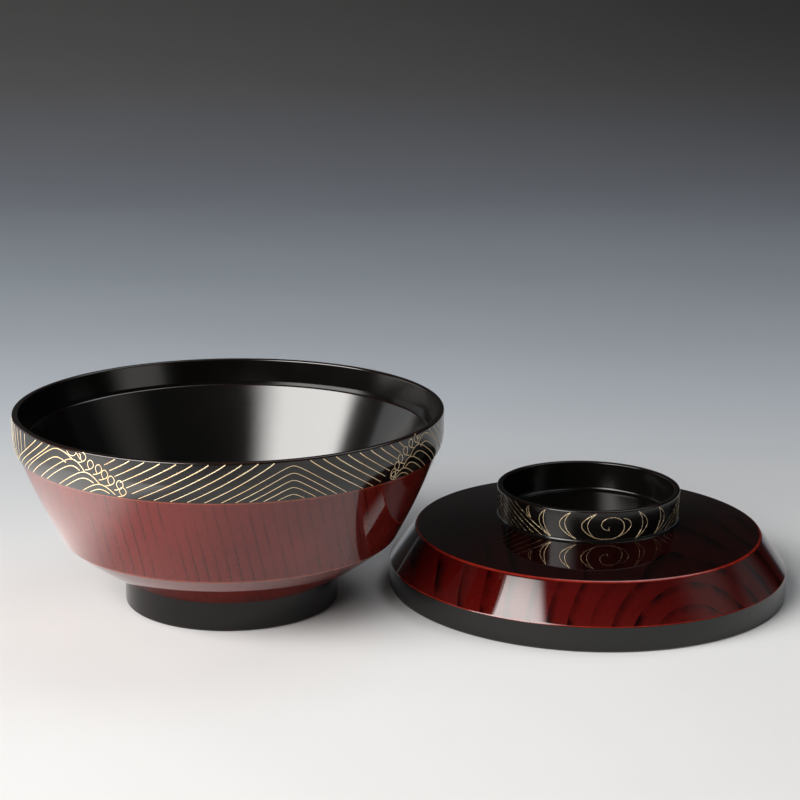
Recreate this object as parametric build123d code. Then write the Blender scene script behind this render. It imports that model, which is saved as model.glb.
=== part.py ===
from build123d import *
import os
from math import hypot

# A turned wooden soup bowl and its lid, in millimetres.
# The bowl's axis is the Z axis, its foot stands on Z = 0, and the lid lies beside it.

# Bowl, outside
rim_radius = 66.0
bowl_height = 61.6
rim_band_height = 11.9
rim_straight_height = 6.6
rim_draw_in = 1.1
rim_step = 0.3
corner_radius = 51.9
corner_height = 22.0
wall_bulge = 0.55
slope_bulge = 0.5
foot_radius = 33.3
foot_height = 9.1

# Bowl, inside and under the foot
lip_wall = 1.9
collar_depth = 8.1
ledge_width = 2.4
floor_thickness = 6.0
inside_floor_radius = 41.5
inside_floor_rounding = 30.0
foot_wall = 4.0
foot_recess_depth = 6.5

# Lid, outside
lid_edge_height = 7.9
lid_bevel_width = 8.5
lid_shoulder_height = 19.0
knob_radius = 29.1
knob_flare = 0.6
knob_base_height = 22.3
knob_height = 10.0

# Lid, inside and in the knob
lid_edge_wall = 2.8
lid_bevel_wall = 3.6
lid_crown_wall = 3.6
knob_wall = 1.9
knob_depth = 9.4

# Fit of the lid in the bowl's collar, and where the lid lies: which way from the bowl, in degrees
# from +X, and how far its shoulder is from the bowl's corner as seen from above
lid_clearance = 0.7
lid_direction = 7.58
lid_gap = 6.9

# Layers: a lacquer coat all over, and a cloth strip under it at the rims and feet
coat_thickness = 0.35
cloth_thickness = 0.30

# Roundings
lip_rounding = 0.5
ledge_rounding = 1.0
corner_rounding = 3.0
foot_rounding = 0.9
recess_rounding = 1.5
lid_edge_rounding = 0.9
bevel_rounding = 1.0
shoulder_rounding = 1.6
shoulder_inner_rounding = 6.0
knob_base_rounding = 1.0
knob_floor_rounding = 1.2

# The most of a wall that the rounding of one of its edges may take
rounding_share = 0.48

# How far the half sections are drawn past the axis, so that no layer has a hole there
past_axis = 10.0

# Levels, radii and places that follow from the sizes above
collar_radius = rim_radius - lip_wall
lid_radius = collar_radius - lid_clearance
lid_shoulder_radius = lid_radius - lid_bevel_width
lid_distance = corner_radius + lid_shoulder_radius + lid_gap
lid_place = Rot(0, 0, lid_direction) * Pos(lid_distance, 0, 0)
ledge_radius = collar_radius - ledge_width
ledge_height = bowl_height - collar_depth
band_bottom = bowl_height - rim_band_height
inside_floor_height = foot_recess_depth + floor_thickness
recess_radius = foot_radius - foot_wall
lid_height = knob_base_height + knob_height
knob_inner_radius = knob_radius - knob_wall
knob_base_radius = knob_radius - knob_flare
knob_floor_radius = knob_base_radius - knob_wall
knob_floor_height = lid_height - knob_depth
lid_inner_radius = lid_radius - lid_edge_wall
crown_under_height = knob_base_height - lid_crown_wall
crown_middle = (knob_floor_height + crown_under_height) / 2

# A length that goes past every section, for zones that are open on one side
reach = 4 * rim_radius


def rounded(section, corners):
    """Round the corners of a half section, each given as its point and its rounding."""
    for point, rounding in corners:
        corner = section.vertices().sort_by_distance(Vector(*point))[0]
        section = fillet(corner, rounding)
    return section


def zone(*points):
    """Filled polygon in the plane of the half sections."""
    return make_face(Polyline(*points, close=True))


def block(radius, low, high):
    """Zone from the axis out to a radius, between two heights."""
    return zone((-past_axis, low), (radius, low), (radius, high), (-past_axis, high))


def turned(section):
    """Solid turned about the Z axis from the half of a section on the axis's positive side."""
    half = section & zone((0, -reach), (reach, -reach), (reach, reach), (0, reach))
    return revolve(Plane.XZ * half, axis=Axis.Z)


def layer(outline, upper, lower):
    """Stretch of a half section from one depth under the surface to another."""
    top = offset(outline, -upper) if upper else outline
    return top - offset(outline, -lower)


def bowl_hollow():
    """Half section of the space in the bowl, open past its lip."""
    ledge_edge = (ledge_radius, ledge_height)
    floor_edge = (inside_floor_radius, inside_floor_height)
    section = zone(
        (-past_axis, reach), (collar_radius, reach), (collar_radius, ledge_height), ledge_edge, floor_edge,
        (-past_axis, inside_floor_height),
    )
    return rounded(section, [(ledge_edge, ledge_rounding), (floor_edge, inside_floor_rounding)])


def bowl_outline():
    """Half section of the finished bowl, with the radius along X and the height along Y."""
    lip_outer = (rim_radius, bowl_height)
    lip_inner = (collar_radius, bowl_height)
    lip_edge = min(lip_rounding, rounding_share * lip_wall)
    band_turn = (rim_radius, bowl_height - rim_straight_height)
    band_edge = (rim_radius - rim_draw_in, band_bottom)
    wall_top = (band_edge[0] - rim_step, band_bottom)
    corner = (corner_radius, corner_height)
    foot_top = (foot_radius, foot_height)
    foot_outer = (foot_radius, 0)
    foot_inner = (recess_radius, 0)
    recess_edge = (recess_radius, foot_recess_depth)
    edges = [
        Line(lip_outer, band_turn),
        TangentArc(band_turn, band_edge, tangent=(0, -1)),
        Line(band_edge, wall_top),
        SagittaArc(wall_top, corner, -wall_bulge),
        SagittaArc(corner, foot_top, -slope_bulge),
        Polyline(
            foot_top, foot_outer, foot_inner, recess_edge,
            (-past_axis, foot_recess_depth), (-past_axis, bowl_height), lip_outer,
        ),
    ]
    return rounded(make_face(edges) - bowl_hollow(), [
        (lip_outer, lip_edge),
        (lip_inner, lip_edge),
        (corner, corner_rounding),
        (foot_outer, foot_rounding),
        (foot_inner, foot_rounding),
        (recess_edge, recess_rounding),
    ])


def bowl_inner_zone():
    """The space in the bowl and the wood around it, out to the middle of the lip."""
    return offset(bowl_hollow(), lip_wall / 2)


def lid_under_corners():
    """Corners under the lid: the top of its edge's inner side, and the corner under its shoulder."""
    bevel_run = lid_radius - lid_shoulder_radius
    bevel_rise = lid_shoulder_height - lid_edge_height
    bevel_slope = bevel_rise / bevel_run
    bevel_drop = lid_bevel_wall * hypot(bevel_run, bevel_rise) / bevel_run
    crown_slope = (knob_base_height - lid_shoulder_height) / (lid_shoulder_radius - knob_base_radius)
    edge_top = lid_edge_height + lid_edge_wall * bevel_slope - bevel_drop
    inset = (bevel_drop - lid_crown_wall) / (bevel_slope - crown_slope)
    shoulder_height = lid_shoulder_height + inset * crown_slope - lid_crown_wall
    return (lid_inner_radius, edge_top), (lid_shoulder_radius - inset, shoulder_height)


def lid_hollow():
    """Half section of the space under the lid, open past its edge."""
    edge_inner_top, shoulder_under = lid_under_corners()
    section = zone(
        (-past_axis, -reach), (lid_inner_radius, -reach), edge_inner_top, shoulder_under,
        (knob_base_radius, crown_under_height), (-past_axis, crown_under_height),
    )
    return rounded(section, [(shoulder_under, shoulder_inner_rounding)])


def lid_outline():
    """Half section of the finished lid, with the radius along X and the height along Y."""
    edge_outer = (lid_radius, 0)
    edge_inner = (lid_inner_radius, 0)
    edge_rounding = min(lid_edge_rounding, rounding_share * lid_edge_wall)
    edge_top = (lid_radius, lid_edge_height)
    shoulder = (lid_shoulder_radius, lid_shoulder_height)
    knob_base = (knob_base_radius, knob_base_height)
    knob_lip_outer = (knob_radius, lid_height)
    knob_lip_inner = (knob_inner_radius, lid_height)
    knob_floor_edge = (knob_floor_radius, knob_floor_height)
    knob_rounding = min(lip_rounding, rounding_share * knob_wall)
    section = zone(
        edge_outer, edge_top, shoulder, knob_base, knob_lip_outer, knob_lip_inner, knob_floor_edge,
        (-past_axis, knob_floor_height), (-past_axis, 0),
    )
    return rounded(section - lid_hollow(), [
        (edge_outer, edge_rounding),
        (edge_inner, edge_rounding),
        (edge_top, bevel_rounding),
        (shoulder, shoulder_rounding),
        (knob_base, knob_base_rounding),
        (knob_lip_outer, knob_rounding),
        (knob_lip_inner, knob_rounding),
        (knob_floor_edge, knob_floor_rounding),
    ])


def lid_inner_zone():
    """The space under the lid and the wood around it, to the middle of the edge but not down to its foot."""
    space = offset(lid_hollow(), lid_edge_wall / 2)
    return space - block(lid_radius, -2 * reach, lid_edge_rounding)


def bowl_parts():
    """Wood, cloth strips and lacquer coats of the bowl, by node name."""
    outline = bowl_outline()
    inner = bowl_inner_zone()
    rim = block(reach, band_bottom, reach)
    collar = block(reach, ledge_height, reach)
    foot = block(foot_radius, -reach, foot_height)
    coat = layer(outline, 0, coat_thickness)
    cloth = layer(outline, coat_thickness, coat_thickness + cloth_thickness)
    rim_cloth = (cloth & collar) + ((cloth & rim) - inner)
    foot_cloth = (cloth & foot) - inner
    wood = offset(outline, -coat_thickness) - rim_cloth - foot_cloth
    return {
        "bowl_core": turned(wood),
        "bowl_rim_cloth": turned(rim_cloth),
        "bowl_foot_cloth": turned(foot_cloth),
        "bowl_inside_coat": turned(coat & inner),
        "bowl_rim_coat": turned((coat & rim) - inner),
        "bowl_wall_coat": turned(coat - inner - rim - foot),
        "bowl_foot_coat": turned((coat & foot) - inner),
    }


def lid_parts():
    """Wood, cloth strips and lacquer coats of the lid where it lies, by node name."""
    outline = lid_outline()
    inner = lid_inner_zone()
    edge = block(reach, -reach, lid_edge_height)
    knob = block(knob_radius + coat_thickness, crown_middle, reach)
    knob_ring = block(knob_radius, max(knob_base_height, knob_floor_height + knob_floor_rounding), reach)
    coat = layer(outline, 0, coat_thickness)
    cloth = layer(outline, coat_thickness, coat_thickness + cloth_thickness)
    edge_cloth = (cloth & edge) - inner
    knob_cloth = cloth & knob_ring
    wood = offset(outline, -coat_thickness) - edge_cloth - knob_cloth
    sections = {
        "lid_core": wood,
        "lid_edge_cloth": edge_cloth,
        "lid_knob_cloth": knob_cloth,
        "lid_inside_coat": coat & inner,
        "lid_edge_coat": (coat & edge) - inner,
        "lid_top_coat": coat - inner - edge - knob,
        "lid_knob_coat": (coat & knob) - inner,
    }
    return {node: lid_place * turned(section) for node, section in sections.items()}


def main():
    """Write every piece of the bowl and the lid to its own file."""
    os.makedirs("parts", exist_ok=True)
    for node, piece in {**bowl_parts(), **lid_parts()}.items():
        export_step(piece, f"parts/{node}.step")


main()
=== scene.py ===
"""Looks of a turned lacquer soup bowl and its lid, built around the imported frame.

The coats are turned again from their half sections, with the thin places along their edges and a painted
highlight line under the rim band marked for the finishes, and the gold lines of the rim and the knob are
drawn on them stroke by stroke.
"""

import logging
import math
import random
from abc import ABC, abstractmethod
from collections.abc import Callable, Iterator, Sequence
from dataclasses import dataclass, field
from enum import Enum
from typing import Any, ClassVar

import bmesh
import bpy
from mathutils import Matrix, Vector


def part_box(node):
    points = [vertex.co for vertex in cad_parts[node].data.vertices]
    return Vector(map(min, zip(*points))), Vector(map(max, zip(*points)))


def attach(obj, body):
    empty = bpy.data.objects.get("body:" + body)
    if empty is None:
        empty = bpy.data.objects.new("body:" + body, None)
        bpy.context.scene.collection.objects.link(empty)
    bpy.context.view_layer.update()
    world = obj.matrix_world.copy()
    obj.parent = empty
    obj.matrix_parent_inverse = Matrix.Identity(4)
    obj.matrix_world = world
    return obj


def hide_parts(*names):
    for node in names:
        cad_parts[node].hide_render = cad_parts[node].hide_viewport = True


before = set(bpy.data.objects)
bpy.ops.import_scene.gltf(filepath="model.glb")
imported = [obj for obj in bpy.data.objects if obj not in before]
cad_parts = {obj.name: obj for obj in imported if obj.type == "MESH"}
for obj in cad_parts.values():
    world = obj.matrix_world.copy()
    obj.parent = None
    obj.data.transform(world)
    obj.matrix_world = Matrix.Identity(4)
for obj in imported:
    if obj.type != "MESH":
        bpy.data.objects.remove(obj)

LOG = logging.getLogger("bowl")
MM = 0.001

# Names of the values that a mesh carries at its points
# Thin coat, which also marks the painted highlight line under the bowl's rim band
THIN_AND_HIGHLIGHT = "coat_thin_and_highlight"
DEEP = "coat_deep"
WIDTH = "line_width"
FACING = "surface_normal"

Colour = tuple[float, float, float, float]
Triple = tuple[float, float, float]
Span = tuple[float, float]
Spot = tuple[float, float]

# Spans that a value is taken from or brought to; a noise's values lie about the middle of 0 to 1
RISE: Span = (0.0, 1.0)
FALL: Span = (1.0, 0.0)
WIDE: Span = (0.25, 0.75)
SOFT: Span = (0.3, 0.7)
FIRM: Span = (0.35, 0.65)


class Body(Enum):
    """The bodies that a piece can ride on."""

    BOWL = "bowl"
    LID = "lid"


class Slot(Enum):
    """The record's material slots."""

    AMBER = "amber_lacquer"
    BLACK = "black_lacquer"
    GOLD = "gold_line"


class Detail(Enum):
    """How much fine detail a pattern has."""

    PLAIN = 2.0
    USUAL = 3.0
    RICH = 4.0


class NodePad:
    """Adds nodes to one tree and links them."""

    def __init__(self, tree: bpy.types.NodeTree) -> None:
        """Keep the tree that the nodes go into."""
        self.tree = tree

    def add(self, kind: str, inputs: dict[str | int, Any] | None = None, **settings: Any) -> bpy.types.Node:
        """Add a node.

        Args:
            kind: Blender's name of the node type.
            inputs: Values or sockets for its inputs, by name or index.
            settings: The node's own properties.

        Returns:
            The new node.
        """
        node = self.tree.nodes.new(kind)
        for name, value in settings.items():
            setattr(node, name, value)
        for key, value in (inputs or {}).items():
            if isinstance(value, bpy.types.NodeSocket):
                self.tree.links.new(value, node.inputs[key])
            else:
                node.inputs[key].default_value = value
        return node

    def math(self, operation: str, *values: Any) -> bpy.types.NodeSocket:
        """Add a Math node and return its result."""
        return self.add("ShaderNodeMath", dict(enumerate(values)), operation=operation).outputs[0]

    def product(self, first: Any, *others: Any) -> bpy.types.NodeSocket:
        """Multiply values.

        Args:
            first: The first value or socket.
            others: What it is multiplied by.

        Returns:
            The product's socket.
        """
        result = first
        for other in others:
            result = self.math("MULTIPLY", result, other)
        return result

    def vector_math(self, operation: str, *values: Any) -> bpy.types.NodeSocket:
        """Add a Vector Math node and return its vector."""
        return self.add("ShaderNodeVectorMath", dict(enumerate(values)), operation=operation).outputs[0]

    def along_grain(self, place: Any, share: float) -> bpy.types.NodeSocket:
        """Stretch a pattern along Z, where it changes only that share as quickly as across."""
        return self.vector_math("MULTIPLY", place, (1.0, 1.0, share))

    def blend(self, share: Any, first: Any, second: Any, blend_type: str = "MIX") -> bpy.types.NodeSocket:
        """Mix two colours.

        Args:
            share: How much of the second colour, from 0 to 1.
            first: The first colour.
            second: The second colour.
            blend_type: How the second goes over the first.

        Returns:
            The mixed colour's socket.
        """
        inputs = {0: share, 6: first, 7: second}
        return self.add("ShaderNodeMix", inputs, data_type="RGBA", blend_type=blend_type).outputs[2]

    def spread(self, value: Any, given: Span, wanted: Span) -> bpy.types.NodeSocket:
        """Bring a value smoothly from one span to another, held at its ends."""
        inputs = dict(enumerate((value, *given, *wanted)))
        return self.add("ShaderNodeMapRange", inputs, clamp=True, interpolation_type="SMOOTHSTEP").outputs[0]

    def noise(self, place: Any, scale: float, detail: Detail = Detail.USUAL) -> bpy.types.NodeSocket:
        """Add a noise texture and return its value."""
        inputs = {"Vector": place, "Scale": scale, "Detail": detail.value}
        return self.add("ShaderNodeTexNoise", inputs).outputs[0]

    def rings(self, place: Any, scale: float, waver: float, waver_scale: float,
              waver_roughness: float = 0.5) -> bpy.types.NodeSocket:
        """Add the year rings of wood about the Z axis.

        Args:
            place: Where the pattern is read.
            scale: How close together the rings are.
            waver: How far they waver.
            waver_scale: How quickly they waver.
            waver_roughness: How ragged that is, from 0 to 1.

        Returns:
            The rings' value, which rises through each year.
        """
        inputs = {
            "Vector": place,
            "Scale": scale,
            "Distortion": waver,
            "Detail": Detail.USUAL.value,
            "Detail Scale": waver_scale,
            "Detail Roughness": waver_roughness,
        }
        settings = {"wave_type": "RINGS", "rings_direction": "Z", "wave_profile": "SAW"}
        return self.add("ShaderNodeTexWave", inputs, **settings).outputs["Fac"]

    def bump(self, height: Any, strength: float, distance: float) -> bpy.types.NodeSocket:
        """Add a Bump node and return its normal."""
        inputs = {"Height": height, "Strength": strength, "Distance": distance}
        return self.add("ShaderNodeBump", inputs).outputs[0]

    def attribute(self, name: str) -> bpy.types.NodeSocket:
        """Return the value of a mesh attribute in a material."""
        return self.add("ShaderNodeAttribute", attribute_name=name).outputs["Fac"]


class Finish(ABC):
    """A surface finish, made of shader nodes."""

    name: str

    def material(self) -> bpy.types.Material:
        """Return the finish's material, made the first time it is asked for.

        Returns:
            The material.
        """
        found = bpy.data.materials.get(self.name)
        if found:
            return found
        made = bpy.data.materials.new(self.name)
        made.use_nodes = True
        made.node_tree.nodes.clear()
        pad = NodePad(made.node_tree)
        place = pad.add("ShaderNodeTexCoord").outputs["Object"]
        shader = self.shade(pad, place)
        pad.add("ShaderNodeOutputMaterial", {"Surface": shader.outputs[0]})
        return made

    @abstractmethod
    def shade(self, pad: NodePad, place: bpy.types.NodeSocket) -> bpy.types.Node:
        """Build the finish.

        Args:
            pad: Where the nodes go.
            place: The Object coordinates.

        Returns:
            The shader node.
        """


@dataclass(frozen=True)
class BlackLacquer(Finish):
    """Black lacquer: rubbed red-brown where it is thin, with a little dust and an uneven gloss.

    Attributes:
        name: The material's name.
        roughness: How matt its polish is, from 0 to 1.
        refraction: Its refractive index, by which it mirrors more or less.
        colour: Its colour.
        patch: Its colour in cloudy patches.
        patch_scale: How close together the patches are.
        patch_strength: How much of the patch colour shows, at most.
        uneven_gloss: How far the roughness goes up and down with the patches, as a share of it.
        worn: Its colour where it is rubbed thin.
        wear: How much of that colour shows there.
        wear_scale: How close together the rubbed spots are.
        wear_range: Least and most of the wear, from spot to spot.
        worn_polish: Share of the roughness that rubbing takes off where the coat is thin.
        dust: Colour of the dust.
        dust_scale: How close together specks can be.
        dust_edge: Where a speck starts to fade and where it ends.
        dust_rarity: Share of the places for a speck that have none, about.
        dust_strength: How much of the dust's colour shows.
        ripple_scale: How close together the ripples of the polish are.
        ripple_strength: How strongly they show.
        ripple_depth: How deep they are, in metres.
    """

    name: str
    roughness: float
    refraction: float = 1.6
    colour: Colour = (0.0028, 0.0025, 0.0021, 1.0)
    patch: Colour = (0.0055, 0.0043, 0.0032, 1.0)
    patch_scale: float = 55.0
    patch_strength: float = 0.35
    uneven_gloss: float = 0.15
    worn: Colour = (0.085, 0.02, 0.008, 1.0)
    wear: float = 0.12
    wear_scale: float = 420.0
    wear_range: Span = (0.35, 1.0)
    worn_polish: float = 0.6
    dust: Colour = (0.2, 0.19, 0.17, 1.0)
    dust_scale: float = 240.0
    dust_edge: Span = (0.03, 0.075)
    dust_rarity: float = 0.92
    dust_strength: float = 0.45
    ripple_scale: float = 160.0
    ripple_strength: float = 0.05
    ripple_depth: float = 0.0002

    def shade(self, pad: NodePad, place: bpy.types.NodeSocket) -> bpy.types.Node:
        """Build the lacquer from a patchy gloss, thin edges and specks of dust.

        Args:
            pad: Where the nodes go.
            place: The Object coordinates.

        Returns:
            The shader node.
        """
        thin = pad.attribute(THIN_AND_HIGHLIGHT)
        patches = pad.noise(place, self.patch_scale, Detail.RICH)
        rubbed = pad.spread(pad.noise(place, self.wear_scale), FIRM, self.wear_range)
        cells = pad.add("ShaderNodeTexVoronoi", {"Vector": place, "Scale": self.dust_scale}).outputs
        near = pad.spread(cells["Distance"], self.dust_edge, FALL)
        pick = pad.math("GREATER_THAN", cells["Color"], self.dust_rarity)
        tone = pad.blend(pad.spread(patches, SOFT, (0.0, self.patch_strength)), self.colour, self.patch)
        # Rubbed thin edges; at the step under the rim band this also paints part of a highlight line
        tone = pad.blend(pad.product(thin, rubbed, self.wear), tone, self.worn)
        tone = pad.blend(pad.product(near, pick, self.dust_strength), tone, self.dust)
        polish = (self.roughness * (1 - self.uneven_gloss), self.roughness * (1 + self.uneven_gloss))
        rubbing = pad.product(thin, self.roughness * self.worn_polish)
        ripple = pad.noise(place, self.ripple_scale, Detail.PLAIN)
        return pad.add("ShaderNodeBsdfPrincipled", {
            "Base Color": tone,
            "Roughness": pad.math("SUBTRACT", pad.spread(patches, WIDE, polish), rubbing),
            "IOR": self.refraction,
            "Normal": pad.bump(ripple, self.ripple_strength, self.ripple_depth),
        })


@dataclass(frozen=True)
class AmberLacquer(Finish):
    """Clear red-brown lacquer over turned wood, whose rings and pores show through a polished coat.

    Attributes:
        name: The material's name.
        ring_centre: Where the wood's heart lies, in metres.
        ring_tilt: How the heart leans, in radians about each axis.
        ring_scale: How close together the rings are.
        ring_waver: How far the rings waver.
        ring_waver_scale: How quickly they waver.
        ring_waver_roughness: How ragged that is.
        shallow: Colour where the coat's colour is shallow.
        middle: Colour half-way.
        deep: Colour where it is deep.
        edge: Colour where the coat is rubbed thin, and of any painted highlight line marked as thin.
        late_start: Where in a year the dark late wood starts.
        late_end: Where in a year it is darkest.
        late_strength: How much it darkens the coat.
        late_tone: What it darkens the coat to, as a share of each colour.
        year_scale: How close together lean and rich years are.
        year_stretch: How quickly they change along the grain, as a share of across.
        year_range: How much of the late wood shows in a lean and in a rich year.
        pore_scale: How close together the pores are.
        pore_stretch: How quickly they change along the grain, as a share of across.
        pore_span: Values of the noise at which a pore starts and is full.
        pore_strength: How much the pores darken the coat.
        pore_tone: What they darken it to, as a share of each colour.
        pore_relief: How strongly they show as relief.
        pore_depth: How deep they are, in metres.
        cloud_scale: How close together the clouds in the colour are.
        cloud_strength: How much they darken the coat.
        cloud_tone: What they darken it to, as a share of each colour.
        rub_scale: How close together the rubbed spots of the edges are.
        rub_range: How much of the edge's colour shows, from spot to spot.
        wood_roughness: Least and most roughness of the wood under the coat.
        coat_roughness: How matt the coat's polish is.
        coat_refraction: The coat's refractive index.
    """

    name: str
    ring_centre: Triple
    ring_tilt: Triple
    ring_scale: float
    ring_waver: float = 0.9
    ring_waver_scale: float = 0.9
    ring_waver_roughness: float = 0.55
    shallow: Colour = (0.115, 0.013, 0.0095, 1.0)
    middle: Colour = (0.06, 0.0022, 0.0018, 1.0)
    deep: Colour = (0.005, 0.0009, 0.0008, 1.0)
    edge: Colour = (0.34, 0.022, 0.012, 1.0)
    late_start: float = 0.68
    late_end: float = 0.95
    late_strength: float = 0.45
    late_tone: Colour = (0.2, 0.15, 0.15, 1.0)
    year_scale: float = 130.0
    year_stretch: float = 0.12
    year_range: Span = (0.15, 1.0)
    pore_scale: float = 1900.0
    pore_stretch: float = 0.06
    pore_span: Span = (0.5, 0.72)
    pore_strength: float = 0.35
    pore_tone: Colour = (0.45, 0.4, 0.4, 1.0)
    pore_relief: float = 0.06
    pore_depth: float = 0.0002
    cloud_scale: float = 42.0
    cloud_strength: float = 0.5
    cloud_tone: Colour = (0.6, 0.55, 0.55, 1.0)
    rub_scale: float = 300.0
    rub_range: Span = (0.55, 0.95)
    wood_roughness: Span = (0.5, 0.65)
    coat_roughness: float = 0.035
    coat_refraction: float = 1.6

    def shade(self, pad: NodePad, place: bpy.types.NodeSocket) -> bpy.types.Node:
        """Build the lacquer from the wood's rings and pores, the coat's depth and its thin edges.

        Args:
            pad: Where the nodes go.
            place: The Object coordinates.

        Returns:
            The shader node.
        """
        turned = pad.add("ShaderNodeMapping", {
            "Vector": place, "Location": self.ring_centre, "Rotation": self.ring_tilt,
        }, vector_type="TEXTURE").outputs[0]
        rings = pad.rings(
            turned, self.ring_scale, self.ring_waver, self.ring_waver_scale, self.ring_waver_roughness,
        )
        years = pad.noise(pad.along_grain(turned, self.year_stretch), self.year_scale, Detail.PLAIN)
        late = pad.product(
            pad.spread(rings, (self.late_start, self.late_end), RISE),
            pad.spread(rings, (self.late_end, 1.0), FALL),
            pad.spread(years, FIRM, self.year_range),
            self.late_strength,
        )
        fine = pad.noise(pad.along_grain(turned, self.pore_stretch), self.pore_scale, Detail.PLAIN)
        pores = pad.spread(fine, self.pore_span, RISE)
        clouds = pad.noise(place, self.cloud_scale)
        rubbed = pad.spread(pad.noise(place, self.rub_scale), SOFT, self.rub_range)
        depth = pad.attribute(DEEP)
        tone = pad.blend(pad.spread(depth, (0.0, 0.5), RISE), self.shallow, self.middle)
        tone = pad.blend(pad.spread(depth, (0.5, 1.0), RISE), tone, self.deep)
        tone = pad.blend(late, tone, self.late_tone, "MULTIPLY")
        tone = pad.blend(pad.product(pores, self.pore_strength), tone, self.pore_tone, "MULTIPLY")
        cloudy = pad.spread(clouds, SOFT, (0.0, self.cloud_strength))
        tone = pad.blend(cloudy, tone, self.cloud_tone, "MULTIPLY")
        # Rubbed thin edges, and under the rim band a painted highlight line
        tone = pad.blend(pad.product(pad.attribute(THIN_AND_HIGHLIGHT), rubbed), tone, self.edge)
        return pad.add("ShaderNodeBsdfPrincipled", {
            "Base Color": tone,
            "Roughness": pad.spread(clouds, SOFT, self.wood_roughness),
            "Specular IOR Level": 0.0,
            "Normal": pad.bump(pores, self.pore_relief, self.pore_depth),
            "Coat Weight": 1.0,
            "Coat Roughness": self.coat_roughness,
            "Coat IOR": self.coat_refraction,
        })


@dataclass(frozen=True)
class GoldLine(Finish):
    """Gold powder rubbed into cut lines: paler where it lies thick, browner where it is worn.

    Attributes:
        name: The material's name.
        roughness: How matt the gold is, from 0 to 1.
        metal: How much of it shines as metal, from 0 to 1.
        bright: Its colour where it lies thick.
        worn: Its colour where it is worn.
        wear_scale: How close together the worn places are.
        wear_span: Values of the noise at which wear starts and is full.
        wear_roughness: Share of the roughness where it lies thick and where it is worn.
        grain_scale: How close together the grains of powder are.
        grain_relief: How strongly they show as relief.
        grain_height: How high they stand, in metres.
    """

    name: str
    roughness: float
    metal: float
    bright: Colour = (1.0, 0.83, 0.55, 1.0)
    worn: Colour = (0.93, 0.66, 0.38, 1.0)
    wear_scale: float = 210.0
    wear_span: Span = (0.35, 0.7)
    wear_roughness: Span = (0.9, 1.3)
    grain_scale: float = 2600.0
    grain_relief: float = 0.1
    grain_height: float = 0.0001

    def shade(self, pad: NodePad, place: bpy.types.NodeSocket) -> bpy.types.Node:
        """Build the gold from two noises, one for wear and one for its grain.

        Args:
            pad: Where the nodes go.
            place: The Object coordinates.

        Returns:
            The shader node.
        """
        wear = pad.spread(pad.noise(place, self.wear_scale, Detail.RICH), self.wear_span, RISE)
        grain = pad.noise(place, self.grain_scale, Detail.PLAIN)
        thick, worn = self.wear_roughness
        return pad.add("ShaderNodeBsdfPrincipled", {
            "Base Color": pad.blend(wear, self.bright, self.worn),
            "Metallic": self.metal,
            "Roughness": pad.spread(wear, RISE, (self.roughness * thick, self.roughness * worn)),
            "Normal": pad.bump(grain, self.grain_relief, self.grain_height),
        })


@dataclass(frozen=True)
class TurnedWood(Finish):
    """Sealed hardwood with rings, fibres and pores, under the coats.

    Attributes:
        name: The material's name.
        early: Colour of the early wood of a year.
        late: Colour of the late wood.
        ring_scale: How close together the rings are.
        ring_waver: How far they waver.
        ring_waver_scale: How quickly they waver.
        fibre_scale: How close together the fibres are.
        fibre_stretch: How quickly they change along the grain, as a share of across.
        fibre_range: Least and most of the ring that a fibre lets show.
        fibre_relief: How strongly the fibres show as relief.
        fibre_depth: How deep they are, in metres.
        roughness: Least and most roughness.
    """

    name: str = "turned_wood"
    early: Colour = (0.42, 0.23, 0.11, 1.0)
    late: Colour = (0.22, 0.1, 0.045, 1.0)
    ring_scale: float = 60.0
    ring_waver: float = 3.0
    ring_waver_scale: float = 1.2
    fibre_scale: float = 1500.0
    fibre_stretch: float = 0.05
    fibre_range: Span = (0.6, 1.0)
    fibre_relief: float = 0.2
    fibre_depth: float = 0.0003
    roughness: Span = (0.5, 0.65)

    def shade(self, pad: NodePad, place: bpy.types.NodeSocket) -> bpy.types.Node:
        """Build the wood from rings about an upright axis and fibres along it.

        Args:
            pad: Where the nodes go.
            place: The Object coordinates.

        Returns:
            The shader node.
        """
        rings = pad.rings(place, self.ring_scale, self.ring_waver, self.ring_waver_scale)
        fibre = pad.noise(pad.along_grain(place, self.fibre_stretch), self.fibre_scale)
        share = pad.product(rings, pad.spread(fibre, SOFT, self.fibre_range))
        return pad.add("ShaderNodeBsdfPrincipled", {
            "Base Color": pad.blend(share, self.early, self.late),
            "Roughness": pad.spread(fibre, SOFT, self.roughness),
            "Normal": pad.bump(fibre, self.fibre_relief, self.fibre_depth),
        })


@dataclass(frozen=True)
class LacqueredCloth(Finish):
    """Plain weave soaked in lacquer, under the coats.

    Attributes:
        name: The material's name.
        thread: Colour of the threads.
        gap: Colour between them.
        weave_scale: How close together the threads are.
        weave_relief: How strongly they show as relief.
        weave_depth: How deep the gaps are, in metres.
        roughness: Roughness in the gaps and on the threads.
    """

    name: str = "lacquered_cloth"
    thread: Colour = (0.55, 0.47, 0.34, 1.0)
    gap: Colour = (0.2, 0.13, 0.07, 1.0)
    weave_scale: float = 700.0
    weave_relief: float = 0.5
    weave_depth: float = 0.0002
    roughness: Span = (0.5, 0.75)

    def shade(self, pad: NodePad, place: bpy.types.NodeSocket) -> bpy.types.Node:
        """Build the weave from a thread pattern across and one along.

        Args:
            pad: Where the nodes go.
            place: The Object coordinates.

        Returns:
            The shader node.
        """
        inputs = {"Vector": place, "Scale": self.weave_scale}
        threads = [pad.add("ShaderNodeTexWave", inputs, bands_direction=way).outputs["Fac"] for way in "XZ"]
        weave = pad.math("MAXIMUM", *threads)
        return pad.add("ShaderNodeBsdfPrincipled", {
            "Base Color": pad.blend(weave, self.gap, self.thread),
            "Roughness": pad.spread(weave, RISE, self.roughness),
            "Normal": pad.bump(weave, self.weave_relief, self.weave_depth),
        })


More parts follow.
